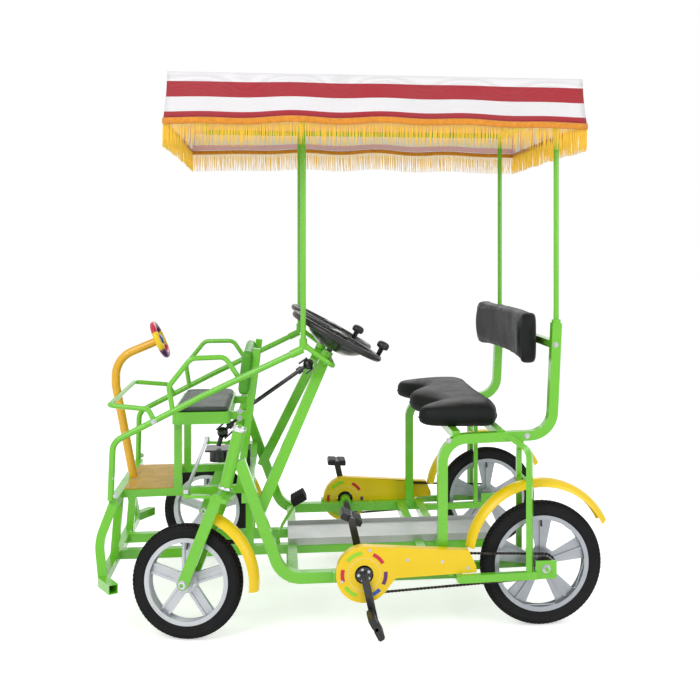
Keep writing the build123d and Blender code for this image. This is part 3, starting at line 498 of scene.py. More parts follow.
def tube(path: list, radius: float, sides: int = 8, closed: bool = False) -> tuple[list, list]:
    """Sweeps a small circle along a path.

    Args:
        path: The path's points.
        radius: The circle's radius.
        sides: The circle's corners.
        closed: Whether the path joins up.

    Returns:
        The points and the faces.
    """
    line = [Vector(p) for p in path]
    count = len(line)
    points = []
    side = None
    for i, here in enumerate(line):
        after = line[(i + 1) % count] if closed or i < count - 1 else here
        before = line[i - 1] if closed or i > 0 else here
        along = (after - before).normalized()
        if side is None:
            side = along.orthogonal().normalized()
        side = (side - along * side.dot(along)).normalized()
        up = along.cross(side)
        points += [here + side * x + up * y for x, y in ring_outline(radius, sides)]
    faces = ring_faces(count, sides, closed)
    if not closed:
        faces += end_caps(count, sides)
    return points, faces


def prism(outline: list, low: float, high: float, inset: float = 0.0) -> tuple[list, list]:
    """A closed block over a flat outline, with its top edge drawn in.

    Args:
        outline: Points (x, y), in order.
        low: The bottom's height.
        high: The top's height.
        inset: How far the top's edge is drawn in, which bevels it.

    Returns:
        The points and the faces.
    """
    count = len(outline)
    middle = Vector((sum(p[0] for p in outline) / count, sum(p[1] for p in outline) / count))
    points = [(x, y, low) for x, y in outline]
    if inset:
        points += [(x, y, high - inset) for x, y in outline]
    for x, y in outline:
        away = Vector((x, y)) - middle
        point = middle + away * max(1 - inset / max(away.length, 1e-6), 0.1)
        points.append((point.x, point.y, high))
    layers = 3 if inset else 2
    return points, end_caps(layers, count) + ring_faces(layers, count)


def merged(parts: list) -> tuple[list, list]:
    """Puts several (points, faces) pairs into one."""
    points, faces = [], []
    for part_points, part_faces in parts:
        shift = len(points)
        points.extend(part_points)
        faces.extend(tuple(v + shift for v in face) for face in part_faces)
    return points, faces


def placed(part: tuple, place: Matrix) -> tuple[list, list]:
    """Moves a (points, faces) pair by a matrix."""
    points, faces = part
    return [place @ Vector(p) for p in points], faces


def patchwork(name: str, parts: list, finishes: list) -> bpy.types.Mesh:
    """Makes one mesh of parts that each have their own finish.

    Args:
        name: The mesh's name.
        parts: Each part with the number of its finish.
        finishes: The finishes.

    Returns:
        The mesh, with its normals outwards.
    """
    mesh = plain_mesh(name, *merged([part for part, _ in parts]))
    for finish in finishes:
        mesh.materials.append(finish.material())
    owners = [number for (_, faces), number in parts for _ in faces]
    mesh.polygons.foreach_set("material_index", owners)
    with editing(mesh) as opened:
        bmesh.ops.recalc_face_normals(opened, faces=opened.faces)
    mesh.shade_flat()
    return mesh


class Pattern(Enum):
    """How Geometry Nodes lay out copies of a small part."""

    ON_POINTS = "copies on points"
    ALONG_LOOP = "copies along a loop"
    HANGING = "strands hanging from a loop"


class Repeats:
    """Lays copies of a small part out with Geometry Nodes and returns plain meshes."""

    trees: dict = {}

    @classmethod
    def tree(cls, pattern: Pattern) -> bpy.types.NodeTree:
        """The node tree of one pattern.

        Args:
            pattern: Which pattern.

        Returns:
            The tree, built at its first use.
        """
        if pattern in cls.trees:
            return cls.trees[pattern]
        graph, start, end = new_group(pattern.value, "GeometryNodeTree", {
            "Geometry": ("NodeSocketGeometry", None), "Part": ("NodeSocketObject", None),
            "Finish": ("NodeSocketMaterial", None), "Spacing": (NUMBER, 0.01), "Spread": (NUMBER, 0.0),
            "Seed": ("NodeSocketInt", 3)}, {"Geometry": "NodeSocketGeometry"})
        given = start.outputs
        part = graph.add("GeometryNodeObjectInfo", {"Object": given["Part"], "As Instance": True})
        if pattern is Pattern.ON_POINTS:
            places = given["Geometry"]
            marked = graph.add("GeometryNodeInputNamedAttribute", {"Name": "turn"}, data_type="FLOAT_VECTOR")
            turn = graph.add("FunctionNodeEulerToRotation", {0: marked.outputs[0]})
        else:
            curve = graph.add("GeometryNodeMeshToCurve", {0: given["Geometry"]})
            spaced = graph.add("GeometryNodeResampleCurve", {
                "Curve": curve.outputs[0], "Length": given["Spacing"]}, mode="LENGTH")
            places = spaced.outputs[0]
            along = graph.add("GeometryNodeInputTangent")
            pivot = "Y" if pattern is Pattern.ALONG_LOOP else "Z"
            turn = graph.add("FunctionNodeAlignRotationToVector", {"Vector": along.outputs[0]}, axis="X",
                             pivot_axis=pivot)
        if pattern is Pattern.HANGING:
            low = graph.add("ShaderNodeMath", {0: given["Spread"], 1: -1.0}, operation="MULTIPLY")
            lean = graph.add("FunctionNodeRandomValue", {
                0: low.outputs[0], 1: given["Spread"], "Seed": given["Seed"]}, data_type="FLOAT_VECTOR")
            swing = graph.add("FunctionNodeEulerToRotation", {0: lean.outputs[0]})
            turn = graph.add("FunctionNodeRotateRotation", {0: turn.outputs[0], 1: swing.outputs[0]},
                             rotation_space="LOCAL")
        copies = graph.add("GeometryNodeInstanceOnPoints", {
            "Points": places, "Instance": part.outputs["Geometry"], "Rotation": turn.outputs[0]})
        real = graph.add("GeometryNodeRealizeInstances", {0: copies.outputs[0]})
        dressed = graph.add("GeometryNodeSetMaterial", {
            "Geometry": real.outputs[0], "Material": given["Finish"]})
        graph.tree.links.new(dressed.outputs[0], end.inputs["Geometry"])
        cls.trees[pattern] = graph.tree
        return graph.tree

    @classmethod
    def make(cls, name: str, pattern: Pattern, part: tuple, carrier: bpy.types.Mesh, finish: Finish,
             smooth: bool = False, **values: float) -> bpy.types.Mesh:
        """Lays out one pattern.

        Args:
            name: The mesh's name.
            pattern: Which pattern.
            part: Points and faces of the small part.
            carrier: The points or the loop that carries the copies.
            finish: The copies' finish.
            smooth: Whether the part is shaded smooth.
            values: The tree's numbers, by input name.

        Returns:
            The plain mesh of all copies.
        """
        small = in_scene(name + "_part", mesh_of(name + "_part", *part, smooth=smooth))
        holder = in_scene(name + "_holder", carrier)
        layout = holder.modifiers.new("layout", "NODES")
        layout.node_group = cls.tree(pattern)
        chosen = {"Part": small, "Finish": finish.material(), **values}
        for item in layout.node_group.interface.items_tree:
            if item.in_out == "INPUT" and item.name in chosen:
                layout[item.identifier] = chosen[item.name]
        mesh = baked(holder)
        mesh.name = name
        bpy.data.objects.remove(small)
        return mesh

    @classmethod
    def on_places(cls, name: str, part: tuple, places: list, finish: Finish,
                  smooth: bool = False) -> bpy.types.Mesh:
        """Puts a copy of the part at each place.

        Args:
            name: The mesh's name.
            part: Points and faces of the small part.
            places: Pairs of a point and a turn in radians about X, Y and Z.
            finish: The copies' finish.
            smooth: Whether the part is shaded smooth.

        Returns:
            The plain mesh of all copies.
        """
        carrier = plain_mesh(name + "_points", [point for point, _ in places], [])
        marks = carrier.attributes.new("turn", "FLOAT_VECTOR", "POINT")
        for i, (_, turn) in enumerate(places):
            marks.data[i].vector = tuple(turn)
        return cls.make(name, Pattern.ON_POINTS, part, carrier, finish, smooth)


def facing(direction: Point) -> Euler:
    """The turn that points a part's +Z along a direction."""
    return Vector(direction).to_track_quat("Z", "Y").to_euler()


def add_copies(name: str, part: tuple, places: list, body: str,
               finish: Finish = ZINC, turn: Matrix | None = None, smooth: bool = False) -> None:
    """Adds a piece that is one small part at many places.

    Args:
        name: The piece's name.
        part: Points and faces of the small part.
        places: Pairs of a point and a turn in radians about X, Y and Z.
        body: The body that it rides on.
        finish: Its finish.
        turn: A matrix for the whole piece.
        smooth: Whether the part is shaded smooth.
    """
    mesh = Repeats.on_places(name, part, places, finish, smooth)
    if turn is not None:
        mesh.transform(turn)
    add_piece(name, mesh, body)


# A tyre's side, from bead to crown: the share of the way up, and the distance from the middle.
TYRE_SIDE = ((0.0, 0.0195), (0.10, 0.0225), (0.16, 0.0235), (0.18, 0.0247), (0.23, 0.0247), (0.25, 0.0243),
             (0.42, 0.0272), (0.60, 0.0276), (0.62, 0.0280), (0.66, 0.0279), (0.68, 0.0272), (0.80, 0.0248),
             (0.91, 0.0193), (0.975, 0.0115), (1.0, 0.004))
# Rows of tread blocks: the place across, the drop below the crown, the tilt, and the shift in steps.
TREAD_ROWS = ((0.0, 0.0, 0.0, 0.0), (0.0105, 0.0012, 0.24, 0.5), (-0.0105, 0.0012, -0.24, 0.5),
              (0.0205, 0.0070, 0.82, 0.0), (-0.0205, 0.0070, -0.82, 0.0))


@dataclass
class Tyre:
    """One road tyre: a ribbed carcass and its tread blocks."""

    name: str
    body: str
    centre: Point
    radius: float
    bead: float
    turn: Matrix | None
    tread_steps: int
    tread_rise: float = 0.0042
    block_skew: float = 0.45
    block_half_width: float = 0.0042

    def profile(self) -> list:
        """The carcass's outline, from one bead over the crown to the other."""
        depth = self.radius - self.tread_rise - self.bead
        half = [(self.bead + share * depth, wide) for share, wide in TYRE_SIDE]
        return half + [(r, -y) for r, y in reversed(half)]

    def build(self) -> None:
        """Makes the carcass and the tread."""
        shell = mesh_of(self.name, *lathe(self.profile(), self.centre, 128), turn=self.turn)
        add_piece(self.name, shell, self.body, RUBBER, (self.name,))
        places = []
        for y, drop, tilt, phase in TREAD_ROWS:
            skew = math.copysign(self.block_skew, y) if y else 0.0
            lean = Matrix.Rotation(-tilt, 3, "X") @ Matrix.Rotation(skew, 3, "Z")
            for step in range(self.tread_steps):
                angle = FULL_TURN * (step + phase) / self.tread_steps
                point = about(self.centre, self.radius - self.tread_rise - drop, math.pi / 2 - angle, y)
                places.append((point, (Matrix.Rotation(angle, 3, "Y") @ lean).to_euler()))
        half = 0.36 * FULL_TURN * self.radius / self.tread_steps
        block = prism(rectangle(-half, half, -self.block_half_width, self.block_half_width), -0.0015,
                      self.tread_rise, 0.0007)
        add_copies(self.name + "_tread", block, places, self.body, RUBBER, self.turn)


def screw_part(radius: float, height: float) -> tuple[list, list]:
    """A hexagon head on a thin washer, standing on Z = 0."""
    return merged([prism(ring_outline(radius * 1.45, 16), -0.0006, 0.0010, 0.0003),
                   prism(ring_outline(radius, 6), 0.0010, height + 0.001, radius * 0.18)])


@dataclass
class Wheels:
    """The tyres, and the hub screws and valves of the four wheels."""

    screws: int = 5
    screw_circle: float = 0.029
    hub_face: float = 0.0178

    def build(self) -> None:
        """Makes every wheel's own pieces."""
        for side_name, side in SIDES.items():
            front = (FRONT_AXLE_X, WHEEL_Y * side, FRONT_AXLE_Z)
            rear = (REAR_AXLE_X, WHEEL_Y * side, REAR_AXLE_Z)
            wheels = [("front_" + side_name, front, 0.193, 0.147, steer_matrix(side), 78),
                      ("rear_" + side_name, rear, 0.2175, 0.169, None, 88)]
            for label, centre, radius, bead, turn, steps in wheels:
                Tyre("tyre_" + label, "wheel_" + label, centre, radius, bead, turn, steps).build()
            for label, centre, _, bead, turn, _ in wheels:
                self.hardware(label, centre, bead, turn)

    def hardware(self, label: str, centre: Point, rim_radius: float, turn: Matrix | None) -> None:
        """Makes a wheel's hub screws and its valve.

        Args:
            label: The wheel's name.
            centre: The wheel's centre.
            rim_radius: The rim's outer radius.
            turn: The parked turn of a front wheel.
        """
        places = []
        for face in (-1, 1):
            for k in range(self.screws):
                angle = FULL_TURN * (k + 0.5) / self.screws + math.pi / 2
                point = about(centre, self.screw_circle, angle, face * self.hub_face)
                places.append((point, facing((0, face, 0))))
        add_copies("hub_screws_" + label, screw_part(0.0042, 0.003), places, "wheel_" + label, turn=turn)
        stem = [(centre[0], centre[1] - out, centre[2] + rim_radius - down)
                for out, down in ((0.004, 0.008), (0.010, 0.022), (0.016, 0.040))]
        mesh = mesh_of("valve_" + label, *tube(stem, 0.003, 10), turn=turn)
        add_piece("valve_" + label, mesh, "wheel_" + label, BLACK_PLASTIC)


# Bolts on each side of the frame: behind the front axle, out from the middle, and up.
FRAME_BOLTS = ((-0.272, 0.341, 0.520), (-0.262, 0.341, 0.460), (-0.128, 0.341, 0.716), (0.478, 0.2345, 0.900),
               (0.166, 0.204, 0.700), (0.166, 0.204, 0.725), (0.90, 0.4820, 0.655), (1.18, 0.4820, 0.665),
               (1.2835, 0.4820, 0.985))
# Screws on a chain guard, behind and above the crank's centre.
GUARD_SCREWS = ((0.15, 0.045), (0.27, 0.035), (0.36, 0.010), (-0.075, -0.02), (0.02, 0.082))


@dataclass
class Fasteners:
    """Bolts, nuts and screws that show on the frame, forks and guards."""

    guard_face: float = 0.536
    board_top: float = 0.451
    rear_nut_y: float = 0.554
    fork_face: float = 0.057
    nut_bore: float = 0.0072

    def build(self) -> None:
        """Lays out the fasteners of each body."""
        chassis, guards, board, rear = [], [], [], []
        for side in SIDES.values():
            out = facing((0, side, 0))
            chassis += [((FRONT_AXLE_X + x, side * y, z), out) for x, y, z in FRAME_BOLTS]
            guards += [((CRANK_X + x, side * self.guard_face, CRANK_Z + z), out) for x, z in GUARD_SCREWS]
            board += [((FRONT_AXLE_X + x, side * y, self.board_top), ORIGIN)
                      for x in (-0.235, -0.090) for y in (0.06, 0.175)]
            rear.append(((REAR_AXLE_X, side * self.rear_nut_y, REAR_AXLE_Z), out))
        add_copies("frame_bolts", screw_part(0.007, 0.005), chassis, "chassis")
        add_copies("guard_screws", screw_part(0.0042, 0.0025), guards, "chassis")
        add_copies("board_screws", screw_part(0.0038, 0.0018), board, "chassis")
        add_copies("rear_axle_nuts", self.nut(), rear, "chassis")
        for side_name, side in SIDES.items():
            front = []
            for face in (-1, 1):
                y = side * WHEEL_Y + face * self.fork_face
                front.append(((FRONT_AXLE_X, y, FRONT_AXLE_Z), facing((0, face, 0))))
            add_copies("front_axle_nuts_" + side_name, self.nut(), front, "fork_" + side_name,
                       turn=steer_matrix(side))

    def nut(self) -> tuple[list, list]:
        """An axle nut on its washer, open for the axle's end."""
        bore = self.nut_bore
        washer = lathe(rectangle(bore, 0.015, 0.0, 0.0018), ORIGIN, 24)
        nut = lathe([(bore, 0.0018), (0.0125, 0.0018), (0.0125, 0.0085), (0.0112, 0.0095), (bore, 0.0095)],
                    ORIGIN, 6)
        return placed(merged([washer, nut]), TIP_UP)


# A chain guard's outline round the crank's centre, behind it and up, and the radius of its round nose.
GUARD_OUTLINE = ((0.0, 0.096), (0.287, 0.070), (0.313, 0.014), (0.313, -0.006), (0.110, -0.016),
                 (0.060, -0.0749))
GUARD_NOSE = 0.096
# The coloured segments on a chain guard, by their first and last angle in degrees.
GUARD_SEGMENTS = ((LIME, 95, 140), (LIME, 212, 250), (RED, 30, 65), (RED, 165, 197), (PURPLE, -28, 6),
                  (BLUE, -66, -44))


@dataclass
class Drive:
    """Roller chains, block pedals, and the sheet and the coloured ring of each chain guard."""

    chain_y: float = 0.519
    ring_radius: float = 0.066 + 0.0045
    sprocket_radius: float = 0.037 + 0.0045
    pitch: float = 0.0127
    axle_hole: float = 0.034
    dashes: int = 30
    arm: float = 0.150
    arm_tilt: float = math.radians(12.6)

    def loop(self, side: int) -> list:
        """The chain's line round the chainring and the sprocket.

        Args:
            side: -1 for the left chain, 1 for the right one.

        Returns:
            The loop's points, one every few millimetres.
        """
        reach = REAR_AXLE_X - CRANK_X
        lift = REAR_AXLE_Z - CRANK_Z
        slope = math.atan2(lift, reach)
        spread = math.asin((self.ring_radius - self.sprocket_radius) / math.hypot(reach, lift))
        front = slope + math.pi / 2 - spread
        rear = slope - math.pi / 2 + spread
        line = []
        for centre, radius, start, sweep, steps in (
                (CRANK, self.ring_radius, front, math.pi + 2 * spread, 40),
                ((REAR_AXLE_X, 0.0, REAR_AXLE_Z), self.sprocket_radius, rear, math.pi - 2 * spread, 30)):
            line += [about(centre, radius, start + sweep * i / steps, side * self.chain_y)
                     for i in range(steps + 1)]
        return line

    def link(self) -> tuple[list, list]:
        """One link: a roller between two waisted plates."""
        half = self.pitch / 2
        waist = [(-half - 0.0040, 0.0), (-half, 0.0040), (0.0, 0.0028), (half, 0.0040), (half + 0.0040, 0.0),
                 (half, -0.0040), (0.0, -0.0028), (-half, -0.0040)]
        plates = [prism(waist, low, low + 0.0010) for low in (-0.0034, 0.0024)]
        roller = prism([(x - half, y) for x, y in ring_outline(0.0038, 8)], -0.0024, 0.0024)
        return placed(merged(plates + [roller]), TIP_UP)

    def build(self) -> None:
        """Makes the chains, the guards' sheets and rings, the pedals and the bosses."""
        meshes = []
        for side_name, side in SIDES.items():
            carrier = loop_mesh("chain_line", self.loop(side))
            meshes.append(Repeats.make("chain_" + side_name, Pattern.ALONG_LOOP, self.link(), carrier,
                                       CHAIN_STEEL, Spacing=self.pitch))
            self.guard_ring(side_name, side)
            self.guard_back(side_name, side)
            self.pedals(side_name, side)
            self.boss(side_name, side)
        add_piece("chain_run_left", meshes[0], "chassis", None, ("chains",))
        add_piece("chain_run_right", meshes[1], "chassis")

    def reach(self, angle: float) -> float:
        """How far a chain guard's outline lies from the crank's centre.

        Args:
            angle: The direction, from the rear upwards.

        Returns:
            The distance in metres.
        """
        along = Vector((math.cos(angle), math.sin(angle)))
        far = GUARD_NOSE
        for (x0, y0), (x1, y1) in zip(GUARD_OUTLINE, GUARD_OUTLINE[1:]):
            edge = Vector((x1 - x0, y1 - y0))
            across = along.x * edge.y - along.y * edge.x
            if abs(across) > 1e-9:
                distance = (x0 * edge.y - y0 * edge.x) / across
                share = (x0 * along.y - y0 * along.x) / across
                if distance > 0 and 0 <= share <= 1:
                    far = max(far, distance)
        return far

    def guard_back(self, side_name: str, side: int) -> None:
        """The sheet that closes a chain guard towards the riders, open round the crank's axle."""
        corners = [math.atan2(z, x) % FULL_TURN for x, z in GUARD_OUTLINE[1:4]]
        angles = sorted([FULL_TURN * k / 96 for k in range(96)] + corners)
        points = [about(CRANK, radius, angle, side * y)
                  for angle in angles for radius in (self.axle_hole, self.reach(angle))
                  for y in (0.5030, 0.5014)]
        faces = []
        for i in range(len(angles)):
            a, b = 4 * i, 4 * ((i + 1) % len(angles))
            faces += [(a, a + 2, b + 2, b), (a + 1, b + 1, b + 3, a + 3), (a, b, b + 1, a + 1),
                      (a + 2, a + 3, b + 3, b + 2)]
        mesh = mesh_of("guard_back_" + side_name, points, faces, smooth=False)
        add_piece("guard_back_" + side_name, mesh, "chassis", YELLOW)

    def guard_ring(self, side_name: str, side: int) -> None:
        """The ring of coloured segments on both faces of a chain guard, round a stitched pale line."""
        parts = []
        for face, proud in ((0.5362, 0.0009), (0.5013, -0.0009)):
            low, high = side * face, side * (face + proud)
            for k, (_, start, end) in enumerate(GUARD_SEGMENTS):
                parts.append((lathe(rectangle(0.068, 0.0805, low, high), CRANK, 8, start=math.radians(start),
                                    sweep=math.radians(end - start)), k))
            for k in range(self.dashes):
                parts.append((lathe(rectangle(0.0545, 0.0560, low, high), CRANK, 2,
                                    start=FULL_TURN * k / self.dashes, sweep=FULL_TURN / self.dashes * 0.68),
                              len(GUARD_SEGMENTS)))
        finishes = [finish for finish, _, _ in GUARD_SEGMENTS] + [CREAM]
        mesh = patchwork("guard_ring_" + side_name, parts, finishes)
        add_piece("guard_ring_" + side_name, mesh, "chassis")

    def boss(self, side_name: str, side: int) -> None:
        """The cap and the small bolts on one crank's boss."""
        places = [(about(CRANK, 0.019, math.radians(36 + 72 * k), side * 0.5417), facing((0, side, 0)))
                  for k in range(5)]
        add_copies("boss_bolts_" + side_name, screw_part(0.0036, 0.002), places, "crank_" + side_name)
        cap = [(0.0, side * 0.0065), (0.0078, side * 0.006), (0.0095, side * 0.004), (0.0095, 0.0)]
        turned = lathe(cap, (CRANK_X, side * 0.5545, CRANK_Z), 24, closed=False)
        mesh = mesh_of("crank_cap_" + side_name, *turned)
        add_piece("crank_cap_" + side_name, mesh, "crank_" + side_name, BLACK_PLASTIC)

    def block(self, outwards: int) -> tuple[list, list]:
        """One block pedal about its spindle: two ribbed rubbers and a sleeve.

        Args:
            outwards: The way that the spindle points, 1 to the right and -1 to the left.

        Returns:
            The points and the faces.
        """
        parts = [tube([(0, -0.058 * outwards, 0), (0, 0.046 * outwards, 0)], 0.006, 12)]
        for edge in (-1, 1):
            middle = edge * 0.020
            rubber = rectangle(middle - 0.020, middle + 0.020, -0.046, 0.046)
            parts.append(prism(rubber, -0.009, 0.009, 0.002))
            middle = edge * 0.021
            for k in range(7):
                y = -0.042 + 0.0132 * k
                rib = rectangle(middle - 0.016, middle + 0.016, y, y + 0.006)
                parts += [prism(rib, 0.0085, 0.012), prism(rib, -0.012, -0.0085)]
        parts.append(lathe(rectangle(0.0062, 0.0105, -0.044, 0.044), ORIGIN, 16))
        return merged(parts)

    def pedals(self, side_name: str, side: int) -> None:
        """Both block pedals of one crank set, in place of their plain blocks."""
        dx = -side * self.arm * math.sin(self.arm_tilt)
        dz = -side * self.arm * math.cos(self.arm_tilt)
        leans = (62.0, 25.0) if side < 0 else (3.0, 12.0)
        parts = []
        for x, y, z, lean, outwards in ((CRANK_X + dx, side * 0.6065, CRANK_Z - dz, leans[0], side),
                                        (CRANK_X - dx, side * 0.3395, CRANK_Z + dz, leans[1], -side)):
            place = Matrix.Translation((x, y, z)) @ Matrix.Rotation(math.radians(lean), 4, "Y")
            parts.append(placed(self.block(outwards), place))
        mesh = mesh_of("pedals_" + side_name, *merged(parts), smooth=False)
        add_piece("pedal_blocks_" + side_name, mesh, "crank_" + side_name, BLACK_PLASTIC,
                  ("pedals_" + side_name,))


@dataclass
class ToyWheel:
    """The child's toy wheel: a fat ring in coloured segments on three spokes."""

    centre: Point = (FRONT_AXLE_X - 0.146, 0.0, 0.974)
    tilt: float = math.radians(66.0)
    ring: float = 0.064
    grip: float = 0.0115
    spoke: float = 0.0075

    def build(self) -> None:
        """Makes the wheel as one piece with a material for each colour."""
        sixth = FULL_TURN / 6
        circle = [(self.ring + x, y) for x, y in ring_outline(self.grip, 14)]
        parts = [(lathe(circle, ORIGIN, 9, start=k * sixth, sweep=sixth), k) for k in range(6)]
        for k in range(3):
            end = about(ORIGIN, self.ring, sixth * (0.5 + 2 * k))
            parts.append((tube([ORIGIN, end], self.spoke, 10), 1))
        hub = [(0.0, -0.0115), (0.019, -0.0115), (0.0235, -0.007), (0.0235, 0.004), (0.018, 0.0105),
               (0.0, 0.0125)]
        parts.append((lathe(hub, ORIGIN, 28, closed=False), 6))
        mesh = patchwork("toy_wheel_rim", parts, [PURPLE, YELLOW, RED, PURPLE, YELLOW, RED, BLUE])
        mesh.shade_smooth()
        mesh.transform(Matrix.Translation(self.centre) @ Matrix.Rotation(self.tilt, 4, "Y") @ TIP_UP)
        add_piece("toy_wheel_rim", mesh, "chassis", None, ("toy_wheel",))


def soften(opened: bmesh.types.BMesh, rounds: int) -> None:
    """Evens an open mesh out by rounds of smoothing."""
    for _ in range(rounds):
        bmesh.ops.smooth_vert(opened, verts=opened.verts, factor=0.5, use_axis_x=True, use_axis_y=True,
                              use_axis_z=True)


@dataclass
class Cushion:
    """A padded piece, puffed from its plain solid by a cloth simulation."""

    node: str
    name: str
    slot: str
    finish: Finish
    voxel: float
    rounding: int
    shrink: float
    cap: float
    floor: float | None = None
    welt_share: float | None = None
    frames: int = 20

    def start_mesh(self) -> bpy.types.Mesh:
        """The plain solid, remeshed evenly, rounded and drawn in a little."""
        mesh = frame["nodes"][self.node].data.copy()
        with editing(mesh) as opened:
            bmesh.ops.remove_doubles(opened, verts=opened.verts, dist=1e-5)
        holder = in_scene(self.name + "_start", mesh)
        remesh = holder.modifiers.new("even", "REMESH")
        remesh.mode = "VOXEL"
        remesh.voxel_size = self.voxel
        even = baked(holder)
        with editing(even) as opened:
            soften(opened, self.rounding)
            opened.normal_update()
            for vert in opened.verts:
                vert.co -= vert.normal * self.shrink
        return even

    def puffed(self, mesh: bpy.types.Mesh) -> bpy.types.Mesh:
        """Blows the cover up with air pressure and caps how far a point moves.

        Args:
            mesh: The even, rounded mesh.

        Returns:
            The puffed mesh.
        """
        rest = [vert.co.copy() for vert in mesh.vertices]
        holder = in_scene(self.name + "_puff", mesh)
        settings = holder.modifiers.new("puff", "CLOTH").settings
        settings.use_pressure = True
        settings.uniform_pressure_force = 4.0
        settings.quality = 4
        settings.effector_weights.gravity = 0.0
        for number in range(self.frames):
            bpy.context.scene.frame_set(number + 1)
        result = baked(holder)
        bpy.context.scene.frame_set(1)
        for vert, start in zip(result.vertices, rest):
            move = vert.co - start
            if move.length > self.cap:
                vert.co = start + move.normalized() * self.cap
        return result

    def build(self) -> None:
        """Makes the cushion and its welt."""
        mesh = self.start_mesh()
        mesh = self.puffed(mesh)
        with editing(mesh) as opened:
            soften(opened, 3)
            if self.floor is not None:
                for vert in opened.verts:
                    vert.co.z = max(vert.co.z, self.floor)
        mesh.shade_smooth()
        piece = add_piece(self.name, mesh, "chassis", self.finish, (self.node,))
        if self.welt_share is not None:
            self.add_welt(mesh)

    def add_welt(self, mesh: bpy.types.Mesh) -> None:
        """Sews a thin cord round the cushion where its top and side covers meet.

        Args:
            mesh: The cushion's finished mesh.
        """
        cover = BVHTree.FromPolygons([v.co for v in mesh.vertices],
                                     [tuple(p.vertices) for p in mesh.polygons])
        heights = [v.co.z for v in mesh.vertices]
        seam = min(heights) + (max(heights) - min(heights)) * self.welt_share
        cut = bmesh.new()
        cut.from_mesh(mesh)
        found = bmesh.ops.bisect_plane(cut, geom=cut.verts[:] + cut.edges[:] + cut.faces[:],
                                       plane_co=(0.0, 0.0, seam), plane_no=(0.0, 0.0, 1.0))
        line = chain_edges([e for e in found["geom_cut"] if isinstance(e, bmesh.types.BMEdge)])
        cut.free()
        cord = []
        for spot in line[::max(1, len(line) // 160)]:
            near, outwards, _, _ = cover.find_nearest(spot)
            cord.append(near + outwards * 0.0006)
        welt = mesh_of(self.name + "_welt", *tube(cord, 0.0026, 8, closed=True))
        add_piece(self.name + "_welt", welt, "chassis", self.finish)


def chain_edges(edges: list) -> list:
    """Puts the edges of a cut in order.

    Args:
        edges: The cut's edges.

    Returns:
        The points of its longest loop.
    """
    near: dict = {}
    for edge in edges:
        a, b = edge.verts
        near.setdefault(a, []).append(b)
        near.setdefault(b, []).append(a)
    left = set(near)
    best: list = []
    while left:
        here = min(left, key=lambda v: v.index)
        loop = []
        while here is not None and here in left:
            left.discard(here)
            loop.append(here.co.copy())
            here = next((v for v in near[here] if v in left), None)
        if len(loop) > len(best):
            best = loop
    return best


